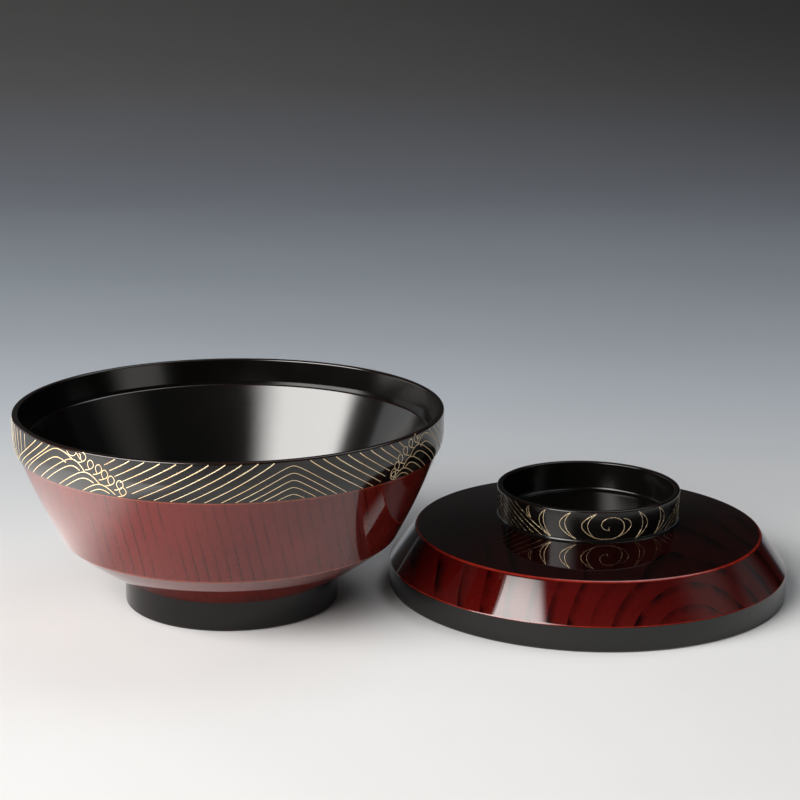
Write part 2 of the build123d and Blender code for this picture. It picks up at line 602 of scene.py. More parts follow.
@dataclass(frozen=True)
class PaperSweep(Finish):
    """Matt paper, white where the object stands, blue-grey and then dark behind it, with painted shade at its
    far right.

    Attributes:
        name: The material's name.
        start: How far back the gradation starts, in metres.
        end: How far back, counted up the rising paper too, it ends.
        tones: Share of the way and colour of each tone.
        cloud_scale: How close together the clouds in its colour are.
        cloud_tone: What they darken it to, as a share of each colour.
        painted_shade_across: Between which places across, in metres, the painted shade at the far right comes
            in.
        painted_shade_back: Between which shares of the way back it comes in.
        painted_shade_tone: What that painted shade darkens the paper to, as a share of each colour.
        roughness: How matt it is.
        sheen: How much it mirrors.
    """

    name: str = "paper_sweep"
    start: float = -0.15
    end: float = 1.85
    tones: tuple[tuple[float, Colour], ...] = (
        (0.0, (0.8, 0.805, 0.805, 1.0)),
        (0.06, (0.8, 0.81, 0.81, 1.0)),
        (0.14, (0.585, 0.605, 0.625, 1.0)),
        (0.20, (0.45, 0.49, 0.535, 1.0)),
        (0.27, (0.35, 0.385, 0.43, 1.0)),
        (0.36, (0.275, 0.312, 0.35, 1.0)),
        (0.53, (0.225, 0.247, 0.283, 1.0)),
        (0.66, (0.178, 0.188, 0.21, 1.0)),
        (0.76, (0.143, 0.143, 0.147, 1.0)),
        (0.88, (0.115, 0.114, 0.114, 1.0)),
        (1.0, (0.1, 0.098, 0.098, 1.0)),
    )
    cloud_scale: float = 9.0
    cloud_tone: Colour = (0.97, 0.97, 0.97, 1.0)
    painted_shade_across: Span = (-0.6, 0.9)
    painted_shade_back: Span = (0.4, 0.9)
    painted_shade_tone: Colour = (0.47, 0.47, 0.48, 1.0)
    roughness: float = 0.9
    sheen: float = 0.15

    def shade(self, pad: NodePad, place: bpy.types.NodeSocket) -> bpy.types.Node:
        """Build the paper from its gradation, with soft clouds in it and painted shade at its far right.

        Args:
            pad: Where the nodes go.
            place: The Object coordinates.

        Returns:
            The shader node.
        """
        parts = pad.add("ShaderNodeSeparateXYZ", {0: place}).outputs
        back = pad.math("ADD", parts["Y"], parts["Z"])
        span = self.end - self.start
        share = pad.math("MULTIPLY_ADD", back, 1 / span, -self.start / span)
        ramp = pad.add("ShaderNodeValToRGB", {0: share})
        stops = ramp.color_ramp.elements
        while len(stops) < len(self.tones):
            stops.new(1.0)
        for stop, (position, colour) in zip(stops, self.tones):
            stop.position = position
            stop.color = colour
        clouds = pad.spread(pad.noise(place, self.cloud_scale, Detail.RICH), SOFT, RISE)
        tone = pad.blend(clouds, ramp.outputs[0], self.cloud_tone, "MULTIPLY")
        # Painted shade: the paper darkens towards the far right at the back, where the light falls off
        painted_shade_far_right = pad.product(
            pad.spread(parts["X"], self.painted_shade_across, RISE), pad.spread(share, self.painted_shade_back, RISE),
        )
        return pad.add("ShaderNodeBsdfPrincipled", {
            "Base Color": pad.blend(painted_shade_far_right, tone, self.painted_shade_tone, "MULTIPLY"),
            "Roughness": self.roughness,
            "Specular IOR Level": self.sheen,
        })


RIM_BLACK = BlackLacquer("rim_black_lacquer", roughness=0.12, wear=0.3)
INSIDE_BLACK = BlackLacquer("inside_black_lacquer", roughness=0.15, refraction=1.74)
FOOT_BLACK = BlackLacquer("foot_black_lacquer", roughness=0.13, refraction=1.41, wear=0.3)
EDGE_BLACK = BlackLacquer("edge_black_lacquer", roughness=0.13, refraction=1.5, wear=0.3)
KNOB_BLACK = BlackLacquer("knob_black_lacquer", roughness=0.16, refraction=1.5)
WALL_AMBER = AmberLacquer(
    "wall_amber_lacquer",
    ring_centre=(-0.16, -0.05, 0.0),
    ring_tilt=(0.0, -0.12, 0.0),
    ring_scale=100.0,
    shallow=(0.14, 0.013, 0.0095, 1.0),
    # Its edge colour is rubbed colour at its corner and a painted highlight line under the rim band
    edge=(0.3, 0.06, 0.028, 1.0),
    late_strength=0.6,
)
TOP_AMBER = AmberLacquer(
    "top_amber_lacquer",
    ring_centre=(0.14, -0.05, -0.004),
    ring_tilt=(1.45, 0.0, 0.15),
    ring_scale=55.0,
    shallow=(0.1, 0.008, 0.0055, 1.0),
    middle=(0.064, 0.0025, 0.002, 1.0),
    deep=(0.011, 0.0014, 0.0012, 1.0),
    late_start=0.5,
    late_strength=1.0,
    late_tone=(0.05, 0.04, 0.04, 1.0),
)
BAND_GOLD = GoldLine("band_gold", roughness=0.48, metal=0.6)
KNOB_GOLD = GoldLine("knob_gold", roughness=0.25, metal=0.8)


@dataclass(frozen=True)
class Corner:
    """One corner of a half section, in millimetres.

    Attributes:
        radius: Distance from the axis.
        height: Height above the table.
        rounding: Radius of the rounded corner.
        swell: How far the run to the next corner bulges outwards.
        depth: How deep the colour of the coat is on that run, from 0 to 1.
        ebb: How much shallower it gets along that run.
        worn: How much rubbed-off colour the corner gets, from 0 to 1; under the rim band it paints a
            highlight.
        split: Whether one coat ends here and the next begins.
    """

    radius: float
    height: float
    rounding: float = 0.0
    swell: float = 0.0
    depth: float = 0.0
    ebb: float = 0.0
    worn: float = 0.0
    split: bool = False

    @property
    def point(self) -> Vector:
        """The corner as a 2-D point."""
        return Vector((self.radius, self.height))


@dataclass
class SectionPoint:
    """One point of a coat's section, with how thin and how deep in colour the coat is there; thin also
    carries a painted highlight line.
    """

    point: Vector
    thin: float = 0.0
    deep: float = 0.0


def left_of(direction: Vector) -> Vector:
    """Return a 2-D direction turned a quarter to the left."""
    return Vector((-direction.y, direction.x))


def steps(start: float, end: float, count: int) -> list[float]:
    """Return evenly spaced values from start to end, both included."""
    return [start + (end - start) * i / count for i in range(count + 1)]


def between(first: Spot, second: Spot, share: float) -> Spot:
    """Return the spot that is a share of the way from one spot to another."""
    return first[0] + (second[0] - first[0]) * share, first[1] + (second[1] - first[1]) * share


def turns(repeats: int) -> list[float]:
    """Return the angles, in degrees, of a pattern that is repeated round its axis."""
    return [360.0 / repeats * turn for turn in range(repeats)]


@dataclass
class TurnedOutline:
    """Outline of a turned piece, from the axis out and back to it, with the air on its left.

    Attributes:
        corners: The outline's corners in order.
        thickness: Thickness of the coats, in millimetres.
        arc_step: Widest angle between two points of a rounding, in degrees.
        arc_least: Fewest steps of a rounding.
        run_step: Longest straight piece, in millimetres.
        support: How far from a run's end its first inner point is, in millimetres.
        rubbed_turn: How far, in radians, an outer corner turns before it is rubbed thin.
        rubbed_fade: How quickly the wear fades towards the ends of a rounding.
        sharpest_mitre: Share of a coat's thickness that a sharp corner's mitre counts, at least.
    """

    corners: Sequence[Corner]
    thickness: float
    arc_step: float = 5.0
    arc_least: float = 4.0
    run_step: float = 3.0
    support: float = 0.25
    rubbed_turn: float = 0.2
    rubbed_fade: float = 1.6
    sharpest_mitre: float = 0.4

    def coats(self) -> list[list[SectionPoint]]:
        """Return the closed section of each coat, in order from the first corner.

        Returns:
            One list of section points for each coat.
        """
        chain, cuts = self._chain()
        under = self._under(chain)
        sections = []
        for start, end in zip([0, *cuts], [*cuts, len(chain) - 1]):
            sections.append(chain[start:end + 1] + under[start:end + 1][::-1])
        return sections

    def _chain(self) -> tuple[list[SectionPoint], list[int]]:
        """Sample the outline.

        Returns:
            The points in order, and where in them the coats are split.
        """
        chain: list[SectionPoint] = []
        cuts: list[int] = []
        for index, corner in enumerate(self.corners):
            turned = self._corner_points(index)
            if chain:
                chain.extend(self._run_points(index - 1, chain[-1], turned[0]))
            if corner.split:
                cuts.append(len(chain) + len(turned) // 2)
            chain.extend(turned)
        return chain, cuts

    def _heading(self, index: int, arriving: bool = False) -> Vector:
        """Find the direction of the run after a corner, which bulges as a parabola.

        Args:
            index: The corner that the run leaves.
            arriving: Whether the direction is wanted at the run's end, and not at its start.

        Returns:
            The direction.
        """
        corner = self.corners[index]
        run = self.corners[index + 1].point - corner.point
        lean = 4 * corner.swell / run.length * (-1 if arriving else 1)
        ahead = run.normalized()
        return (ahead + left_of(ahead) * lean).normalized()

    def _corner_points(self, index: int) -> list[SectionPoint]:
        """Sample a corner.

        Args:
            index: The corner's place in the outline.

        Returns:
            The points of its rounding, or the one point of a sharp corner.
        """
        corner = self.corners[index]
        if index in (0, len(self.corners) - 1):
            return [SectionPoint(corner.point, 0.0, corner.depth)]
        came = self._heading(index - 1, arriving=True)
        goes = self._heading(index)
        turn = math.atan2(came.cross(goes), came.dot(goes))
        # Outer corners are rubbed thin; a corner's own worn value marks it too, which under the rim band
        # paints a highlight line
        thin = 1.0 if turn < -self.rubbed_turn else corner.worn
        if not corner.rounding:
            return [SectionPoint(corner.point, thin, corner.depth)]
        before = self.corners[index - 1].depth - self.corners[index - 1].ebb
        start = corner.point - came * corner.rounding * math.tan(abs(turn) / 2)
        centre = start + left_of(came) * math.copysign(corner.rounding, turn)
        # An even count, so that a coat can be split at the middle of the rounding
        count = 2 * math.ceil(max(self.arc_least, math.degrees(abs(turn)) / self.arc_step) / 2)
        points = []
        for share in steps(0.0, 1.0, count):
            point = centre + Matrix.Rotation(turn * share, 2) @ (start - centre)
            edge = thin * math.sin(math.pi * share) ** self.rubbed_fade
            points.append(SectionPoint(point, edge, before + (corner.depth - before) * share))
        return points

    def _run_points(self, index: int, start: SectionPoint, end: SectionPoint) -> list[SectionPoint]:
        """Sample the inside of a run.

        Args:
            index: The corner that the run leaves.
            start: The point before the run's inside.
            end: The point after it.

        Returns:
            The run's inner points, none where the run is short.
        """
        corner = self.corners[index]
        whole = self.corners[index + 1].point - corner.point
        ahead = whole.normalized()
        first, last = ((p.point - corner.point).dot(ahead) for p in (start, end))
        if last - first < 4 * self.support:
            return []
        count = math.ceil((last - first - 2 * self.support) / self.run_step)
        points = []
        for along in steps(first + self.support, last - self.support, count):
            share = along / whole.length
            rise = 4 * corner.swell * share * (1 - share)
            deep = corner.depth - corner.ebb * share
            points.append(SectionPoint(corner.point + ahead * along + left_of(ahead) * rise, 0.0, deep))
        return points

    def _under(self, chain: Sequence[SectionPoint]) -> list[SectionPoint]:
        """Return the chain's points moved in by the coat's thickness.

        Args:
            chain: The outline's points.

        Returns:
            The points of the coat's underside.
        """
        sides = [-left_of((b.point - a.point).normalized()) for a, b in zip(chain, chain[1:])]
        moved = []
        for item, before, after in zip(chain, [sides[0], *sides], [*sides, sides[-1]]):
            mitre = (before + after).normalized()
            reach = self.thickness / max(mitre.dot(before), self.sharpest_mitre)
            moved.append(SectionPoint(item.point + mitre * reach))
        return moved


def point_outwards(mesh: bpy.types.Mesh) -> None:
    """Drop the edges that have no face, and turn all faces outwards.

    Args:
        mesh: The mesh that is mended.
    """
    work = bmesh.new()
    work.from_mesh(mesh)
    loose = [edge for edge in work.edges if not edge.link_faces]
    bmesh.ops.delete(work, geom=loose, context="EDGES")
    bmesh.ops.recalc_face_normals(work, faces=work.faces)
    work.to_mesh(mesh)
    work.free()


class Recipe:
    """A Geometry Nodes tree with named inputs, run once on a mesh and turned into a plain mesh."""

    def __init__(self, name: str, inputs: dict[str, str]) -> None:
        """Make the tree.

        Args:
            name: The tree's name.
            inputs: The socket type of each named input.
        """
        self.tree = bpy.data.node_groups.new(name, "GeometryNodeTree")
        face = self.tree.interface
        face.new_socket("Geometry", in_out="INPUT", socket_type="NodeSocketGeometry")
        self.keys = {
            label: face.new_socket(label, in_out="INPUT", socket_type=kind).identifier
            for label, kind in inputs.items()
        }
        face.new_socket("Geometry", in_out="OUTPUT", socket_type="NodeSocketGeometry")
        self.pad = NodePad(self.tree)
        self.given = self.pad.add("NodeGroupInput").outputs

    def named(self, name: str, kind: str = "FLOAT") -> bpy.types.NodeSocket:
        """Return a named attribute of the geometry that the tree is given."""
        return self.pad.add("GeometryNodeInputNamedAttribute", {"Name": name}, data_type=kind).outputs[0]

    def close(self, geometry: bpy.types.NodeSocket) -> None:
        """Smooth the geometry, make it real and give it its finish.

        Args:
            geometry: What the tree has made.
        """
        smooth = self.pad.add("GeometryNodeSetShadeSmooth", {"Geometry": geometry})
        real = self.pad.add("GeometryNodeRealizeInstances", {"Geometry": smooth.outputs[0]})
        dressed = self.pad.add("GeometryNodeSetMaterial", {
            "Geometry": real.outputs[0], "Material": self.given["Finish"],
        })
        self.pad.add("NodeGroupOutput", {0: dressed.outputs[0]})

    def make(self, name: str, seed: bpy.types.Mesh, values: dict[str, Any]) -> bpy.types.Object:
        """Run the tree on a seed mesh.

        Args:
            name: Name of the piece.
            seed: The mesh that the tree starts from.
            values: The tree's inputs by name.

        Returns:
            The piece, as a plain mesh object with its faces pointing outwards.
        """
        piece = bpy.data.objects.new(name, seed)
        bpy.context.scene.collection.objects.link(piece)
        modifier = piece.modifiers.new(self.tree.name, "NODES")
        modifier.node_group = self.tree
        for label, value in values.items():
            modifier[self.keys[label]] = value
        graph = bpy.context.evaluated_depsgraph_get()
        made = bpy.data.meshes.new_from_object(piece.evaluated_get(graph), depsgraph=graph)
        piece.modifiers.remove(modifier)
        piece.data = made
        made.name = name
        bpy.data.meshes.remove(seed)
        point_outwards(made)
        return piece


class Lathe(Recipe):
    """Turns the closed section of a coat about an upright axis.

    Attributes:
        segments: How many steps a turn has.
        merge_distance: How near to each other points are made one, in metres.
        sharp_angle: How far two faces turn before the edge between them is sharp, in radians.
    """

    segments: int = 256
    merge_distance: float = 1e-6
    sharp_angle: float = math.radians(32)

    def __init__(self) -> None:
        """Build the tree: a grid is wrapped round the axis, one row for each point of the section."""
        super().__init__("turned_coat", {
            "Segments": "NodeSocketInt",
            "Section Points": "NodeSocketInt",
            "Axis": "NodeSocketVector",
            "Finish": "NodeSocketMaterial",
        })
        pad, given = self.pad, self.given
        grid = pad.add("GeometryNodeMeshGrid", {
            "Size X": 1.0,
            "Size Y": 1.0,
            "Vertices X": pad.math("ADD", given["Segments"], 1.0),
            "Vertices Y": pad.math("ADD", given["Section Points"], 1.0),
        })
        across = pad.add("ShaderNodeSeparateXYZ", {0: grid.outputs["UV Map"]})
        angle = pad.product(across.outputs["X"], math.tau)
        row = pad.math("ROUND", pad.product(across.outputs["Y"], given["Section Points"]))
        index = pad.math("FLOORED_MODULO", row, given["Section Points"])
        half = pad.add("ShaderNodeSeparateXYZ", {
            0: self._of_section("FLOAT_VECTOR", pad.add("GeometryNodeInputPosition").outputs[0], index),
        })
        radius = half.outputs["X"]
        spot = pad.add("ShaderNodeCombineXYZ", {
            "X": pad.product(radius, pad.math("SINE", angle)),
            "Y": pad.product(radius, pad.product(pad.math("COSINE", angle), -1.0)),
            "Z": half.outputs["Z"],
        })
        geometry = grid.outputs["Mesh"]
        for name in (THIN_AND_HIGHLIGHT, DEEP):
            value = self._of_section("FLOAT", self.named(name), index)
            geometry = pad.add("GeometryNodeStoreNamedAttribute", {
                "Geometry": geometry, "Name": name, "Value": value,
            }, data_type="FLOAT", domain="POINT").outputs[0]
        turned = pad.add("GeometryNodeSetPosition", {
            "Geometry": geometry, "Position": pad.vector_math("ADD", spot.outputs[0], given["Axis"]),
        })
        self.close(pad.add("GeometryNodeMergeByDistance", {
            "Geometry": turned.outputs[0], "Distance": self.merge_distance,
        }).outputs[0])

    def _of_section(self, kind: str, value: Any, index: Any) -> bpy.types.NodeSocket:
        """Return a value of the section's point with that index."""
        inputs = {"Geometry": self.given["Geometry"], "Value": value, "Index": index}
        return self.pad.add("GeometryNodeSampleIndex", inputs, data_type=kind, domain="POINT").outputs[0]

    def turn(self, name: str, section: Sequence[SectionPoint], axis: Vector,
             finish: Finish) -> bpy.types.Object:
        """Turn one coat.

        Args:
            name: Name of the piece.
            section: The coat's closed section, in millimetres.
            axis: A point of the axis, on the table.
            finish: The coat's finish.

        Returns:
            The piece.
        """
        seed = bpy.data.meshes.new(name)
        seed.from_pydata([(p.point.x * MM, 0.0, p.point.y * MM) for p in section], [], [])
        for label, values in ((THIN_AND_HIGHLIGHT, [p.thin for p in section]), (DEEP, [p.deep for p in section])):
            seed.attributes.new(label, "FLOAT", "POINT").data.foreach_set("value", values)
        piece = self.make(name, seed, {
            "Segments": self.segments,
            "Section Points": len(section),
            "Axis": axis,
            "Finish": finish.material(),
        })
        piece.data.set_sharp_from_angle(angle=self.sharp_angle)
        return piece


@dataclass(frozen=True)
class Stroke:
    """One drawn line: its spots as an angle in degrees and a height in millimetres, and its widths.

    Attributes:
        spots: The line's spots in order.
        start: Width at its first spot, as a share of the full width.
        end: Width at its last spot, as a share of the full width.
    """

    spots: Sequence[Spot]
    start: float = 1.0
    end: float = 1.0

    def moved(self, angle: float, rise: float = 0.0) -> "Stroke":
        """Return the stroke turned by an angle and raised."""
        return Stroke([(a + angle, h + rise) for a, h in self.spots], self.start, self.end)


@dataclass(frozen=True)
class TurnedSurface:
    """An upright turned surface that lines can be drawn on, in millimetres.

    Attributes:
        axis: A point of its axis, on the table, in metres.
        radius: Its radius where it is straight, at the upper end.
        straight_low: Where the straight part ends below.
        straight_high: Where it ends above.
        draw_in_radius: Radius of the curve below the straight part.
        lip_rounding: Radius of the curve above it.
        taper: How much the straight part narrows downwards, for each millimetre.
        steepest: How far round those curves a spot can be, as the sine of its lean.
    """

    axis: Vector
    radius: float
    straight_low: float
    straight_high: float
    draw_in_radius: float = 1.0
    lip_rounding: float = 1.0
    taper: float = 0.0
    steepest: float = 0.95

    def place(self, angle: float, height: float) -> tuple[Vector, Vector]:
        """Find a spot on the surface.

        Args:
            angle: Angle in degrees from the front, towards +X.
            height: Height in millimetres.

        Returns:
            The spot in metres and the surface's normal there.
        """
        over = height - self.straight_high
        under = self.straight_low - height
        lean = -math.atan(self.taper)
        radius = self.radius + self.taper * min(over, 0.0)
        if over > 0:
            lean = math.asin(min(over / self.lip_rounding, self.steepest))
            radius -= self.lip_rounding * (1 - math.cos(lean))
        elif under > 0:
            lean = -math.asin(min(under / self.draw_in_radius, self.steepest))
            radius -= self.draw_in_radius * (1 - math.cos(lean))
        turn = math.radians(angle)
        out = Vector((math.sin(turn), -math.cos(turn), 0.0))
        spot = self.axis + (out * radius + Vector((0.0, 0.0, height))) * MM
        return spot, out * math.cos(lean) + Vector((0.0, 0.0, math.sin(lean)))


class GoldPen(Recipe):
    """Draws strokes on a turned surface as flat raised lines.

    Attributes:
        step: Length of a piece of a line, in metres.
        corners: How many corners a line's section has.
        flatness: How high a line stands, as a share of half its width.
    """

    step: float = 0.4 * MM
    corners: int = 8
    flatness: float = 0.2

    def __init__(self) -> None:
        """Build the tree: smooth curves through the spots, swept with a flat section."""
        super().__init__("gold_lines", {
            "Step": "NodeSocketFloat",
            "Corners": "NodeSocketInt",
            "Flatness": "NodeSocketFloat",
            "Finish": "NodeSocketMaterial",
        })
        pad, given = self.pad, self.given
        lines = pad.add("GeometryNodeMeshToCurve", {0: given["Geometry"]})
        smooth = pad.add("GeometryNodeCurveSplineType", {0: lines.outputs[0]}, spline_type="CATMULL_ROM")
        even = pad.add("GeometryNodeResampleCurve", {
            "Curve": smooth.outputs[0], "Length": given["Step"],
        }, mode="LENGTH")
        facing = pad.vector_math("NORMALIZE", self.named(FACING, "FLOAT_VECTOR"))
        upright = pad.add("GeometryNodeSetCurveNormal", {
            "Curve": even.outputs[0], "Normal": facing,
        }, mode="FREE")
        circle = pad.add("GeometryNodeCurvePrimitiveCircle", {"Resolution": given["Corners"], "Radius": 1.0})
        flat = pad.add("ShaderNodeCombineXYZ", {"X": given["Flatness"], "Y": 1.0, "Z": 1.0})
        section = pad.add("GeometryNodeTransform", {"Geometry": circle.outputs[0], "Scale": flat.outputs[0]})
        swept = pad.add("GeometryNodeCurveToMesh", {
            "Curve": upright.outputs[0],
            "Profile Curve": section.outputs[0],
            "Scale": self.named(WIDTH),
            "Fill Caps": True,
        })
        self.close(swept.outputs[0])

    def draw(self, name: str, strokes: Sequence[Stroke], surface: TurnedSurface, width: float,
             finish: Finish) -> bpy.types.Object:
        """Draw strokes on a surface.

        Args:
            name: Name of the piece.
            strokes: The lines.
            surface: The turned surface that they lie on.
            width: Full width of a line, in millimetres.
            finish: The lines' finish.

        Returns:
            The piece.
        """
        spots, edges, widths, normals = [], [], [], []
        for stroke in strokes:
            first, pieces = len(spots), len(stroke.spots) - 1
            for (angle, height), share in zip(stroke.spots, steps(stroke.start, stroke.end, pieces)):
                spot, normal = surface.place(angle, height)
                spots.append(spot)
                normals.extend(normal)
                widths.append(width / 2 * MM * share)
            edges.extend((i, i + 1) for i in range(first, first + pieces))
        seed = bpy.data.meshes.new(name)
        seed.from_pydata(spots, edges, [])
        seed.attributes.new(WIDTH, "FLOAT", "POINT").data.foreach_set("value", widths)
        seed.attributes.new(FACING, "FLOAT_VECTOR", "POINT").data.foreach_set("vector", normals)
        return self.make(name, seed, {
            "Step": self.step,
            "Corners": self.corners,
            "Flatness": self.flatness,
            "Finish": finish.material(),
        })


@dataclass(frozen=True)
class Flank:
    """A wave's flank, straight below and rounded at its top, in millimetres.

    Attributes:
        slope: How far it falls for each millimetre along.
        rounding: How far along the rounding reaches, about.
    """

    slope: float
    rounding: float

    def drop(self, run: float) -> float:
        """Return how far the flank has fallen after a run."""
        return self.slope * (math.hypot(run, self.rounding) - self.rounding)

    def run(self, drop: float) -> float:
        """Return how long the flank runs until it has fallen that far."""
        return math.sqrt((drop / self.slope + self.rounding) ** 2 - self.rounding ** 2)


@dataclass(frozen=True)
class SlantRow:
    """A row of slanting lines, in degrees.

    Attributes:
        count: How many lines.
        start: Where the first line starts.
        spacing: How far the next line starts from it.
        lean: How far from its start the first line ends.
        lean_growth: How much further the next line leans.
    """

    count: int
    start: float
    spacing: float
    lean: float
    lean_growth: float = 0.0

    def lines(self, origin: float = 0.0) -> list[tuple[float, float]]:
        """Return each line's start, counted from an origin, and its lean."""
        origin += self.start
        return [(origin + self.spacing * k, self.lean + self.lean_growth * k) for k in range(self.count)]


@dataclass(frozen=True)
class WaveSide:
    """A breaking wave of the band, with its foam on one side, and the lines from the peaks to it.

    Attributes:
        way: 1 where the wave breaks towards growing angles, -1 where it breaks the other way.
        crests: Angle from the peak and height of each crest, from the top.
        last_drop: How far the last crest runs on and falls.
        buds: Centre of each foam bud.
        cups: Foam cups that the lip cuts, each as spots.
        row: The slanting lines between the peaks and the foam.
        foam_edge: Angle and height of a spot where the foam ends, and how far its edge goes on for each
            millimetre up.
    """

    way: int
    crests: tuple[Spot, ...]
    last_drop: Spot
    buds: tuple[Spot, ...]
    cups: tuple[tuple[Spot, ...], ...]
    row: SlantRow
    foam_edge: Triple

    def room(self, angle: float, height: float) -> float:
        """Return how far, in degrees, a spot is from the foam; less than nothing is in it."""
        edge, level, lean = self.foam_edge
        return self.way * (angle - (edge + lean * (height - level)))


@dataclass
class WaveBand:
    """The gold waves of the rim: nested peaks between two breaking waves, the same again behind.

    Angles are in degrees from the peak's axis, heights in millimetres, widths shares of the full width.

    Attributes:
        peak_angle: Where the peak's axis is, from the front.
        repeats: How often the pattern goes round the rim.
        low: Lower end of the lines.
        high: Upper end of the lines.
        per_degree: Length of a degree on the rim.
        bottom_width: Width of a line at the bottom.
        foam_width: Width of the foam's lines.
        wobble: How far a hand shifts a line, at most.
        peak_heights: Height of the outermost and the innermost peak.
        peak_count: How many peaks are nested.
        peak_flanks: Left and right flank of the peaks.
        peak_pieces: How many pieces a peak is drawn with.
        slant_bend: How much the slanting lines bend; 1 is straight.
        slant_pieces: How many pieces a slanting line is drawn with.
        valley_rise: The lines of the valley next to the left wave, counted from its first crest.
        valley_fall: The lines that meet them, counted from the right wave's first crest.
        crest_flank: Long flank of the crests.
        crest_least: Height of a crest above the band's lower end, at least.
        crest_pieces: How many pieces a crest's flank and its fall are drawn with.
        arch_drops: How far under each crest the arch inside it is.
        arch_reach: How far an arch runs on, as a share of its crest.
        arch_fall: How far it falls there.
        bud: A foam bud's spots, in millimetres from its centre.
        left: The left wave.
        right: The right wave.
        dice: Draws the hand's shifts.
    """

    peak_angle: float = 20.4
    repeats: int = 2
    low: float = 49.95
    high: float = 61.0
    per_degree: float = 1.152
    bottom_width: float = 0.55
    foam_width: float = 0.8
    wobble: float = 0.05
    peak_heights: Span = (59.9, 51.5)
    peak_count: int = 5
    peak_flanks: tuple[Flank, Flank] = (Flank(slope=0.53, rounding=1.5), Flank(slope=0.64, rounding=1.5))
    peak_pieces: int = 22
    slant_bend: float = 1.1
    slant_pieces: int = 10
    valley_rise: SlantRow = SlantRow(count=3, start=-3.1, spacing=-3.3, lean=-17.0)
    valley_fall: SlantRow = SlantRow(count=17, start=3.1, spacing=3.3, lean=15.4, lean_growth=-0.93)
    crest_flank: Flank = Flank(slope=0.6, rounding=2.5)
    crest_least: float = 0.2
    crest_pieces: tuple[int, int] = (12, 6)
    arch_drops: tuple[float, ...] = (2.5, 2.0, 1.8, 1.5)
    arch_reach: float = 0.58
    arch_fall: float = 0.9
    bud: tuple[Spot, ...] = (
        (-2.0, -1.7), (-0.8, -1.45), (0.6, -0.75), (1.1, 0.2), (0.6, 1.15),
        (-0.2, 1.4), (-0.95, 0.7), (-1.0, -0.25), (-0.45, -1.3),
    )
    left: WaveSide = WaveSide(
        way=1,
        crests=((-63.0, 60.7), (-57.4, 58.8), (-53.3, 55.8), (-48.8, 52.95)),
        last_drop=(4.1, -2.55),
        buds=(
            (-53.7, 60.0), (-51.4, 58.2), (-49.0, 57.3), (-47.2, 56.0), (-45.4, 54.6), (-43.0, 53.6),
            (-42.4, 51.6),
        ),
        cups=(
            ((-59.3, 60.9), (-58.6, 60.0), (-57.3, 59.8), (-56.3, 60.4), (-56.1, 61.0)),
            ((-55.9, 60.9), (-55.2, 60.0), (-54.6, 59.2), (-54.5, 60.2), (-55.0, 61.0)),
        ),
        row=SlantRow(count=11, start=-4.6, spacing=-3.95, lean=-17.0, lean_growth=-0.3),
        foam_edge=(-47.7, 59.4, -0.99),
    )
    right: WaveSide = WaveSide(
        way=-1,
        crests=((44.3, 60.6), (40.6, 58.2), (36.7, 55.5), (33.7, 52.8)),
        last_drop=(-3.0, -2.4),
        buds=(
            (39.6, 60.2), (37.0, 59.3), (34.7, 57.7), (32.6, 55.9), (31.2, 54.0), (30.0, 52.2), (30.2, 51.2),
        ),
        cups=(((41.8, 60.9), (41.3, 60.1), (40.4, 59.9), (39.9, 60.9)),),
        row=SlantRow(count=9, start=4.4, spacing=3.45, lean=15.4),
        foam_edge=(28.8, 53.8, 0.98),
    )
    dice: random.Random = field(default_factory=lambda: random.Random(7))

    def strokes(self) -> list[Stroke]:
        """Draw the whole band.

        Returns:
            All strokes, turned to their places.
        """
        sides = (self.left, self.right)
        one = [*self._peaks()]
        for side in sides:
            one += self._row(side)
        one += self._valley()
        for side in sides:
            one += [*self._crests(side), *self._foam(side)]
        return [
            self._by_hand(stroke.moved(self.peak_angle + turn))
            for turn in turns(self.repeats)
            for stroke in one
        ]

    def _by_hand(self, stroke: Stroke) -> Stroke:
        """Shift a stroke a little, as a hand would.

        Args:
            stroke: The stroke where it should be.

        Returns:
            The stroke where the hand drew it.
        """
        aside = self.dice.uniform(-self.wobble, self.wobble) / self.per_degree
        up = self.dice.uniform(-self.wobble, self.wobble)
        return stroke.moved(aside, up)

    def _peaks(self) -> Iterator[Stroke]:
        """Draw the nested peaks in the middle.

        Yields:
            One stroke for each peak, from the outermost.
        """
        left, right = self.peak_flanks
        for apex in steps(*self.peak_heights, self.peak_count - 1):
            spots = []
            for x in steps(-left.run(apex - self.low), right.run(apex - self.low), self.peak_pieces):
                flank = left if x < 0 else right
                spots.append((x / self.per_degree, apex - flank.drop(x)))
            yield Stroke(spots, self.bottom_width, self.bottom_width)

    def _slant_at(self, top: float, lean: float, share: float) -> float:
        """Return the angle of a slanting line at a share of the band's height."""
        return top + lean * (1 - share) ** self.slant_bend

    def _slant(self, top: float, lean: float) -> list[Spot]:
        """Return the spots of a slanting line, from its top to the band's lower end."""
        return [
            (self._slant_at(top, lean, share), self.low + (self.high - self.low) * share)
            for share in steps(1.0, 0.0, self.slant_pieces)
        ]

    def _row(self, side: WaveSide) -> Iterator[Stroke]:
        """Draw the slanting lines between the peaks and a wave's foam.

        Args:
            side: The wave.

        Yields:
            One stroke for each line that has room.
        """
        for top, lean in side.row.lines():
            yield from self._kept(self._slant(top, lean), side.room)

    def _valley(self) -> Iterator[Stroke]:
        """Draw the lines between the right wave and the next left wave, which meet in a valley.

        Yields:
            One stroke for each line that has room.
        """
        rising = self.valley_rise.lines(self.left.crests[0][0] + 360.0 / self.repeats)
        for top, lean in rising:
            yield Stroke(self._slant(top, lean), 1.0, self.bottom_width)

        def room(angle: float, height: float) -> float:
            """Return how far, in degrees, a spot is from the last of the rising lines."""
            return self._slant_at(*rising[-1], (height - self.low) / (self.high - self.low)) - angle

        for top, lean in self.valley_fall.lines(self.right.crests[0][0]):
            yield from self._kept(self._slant(top, lean), room)

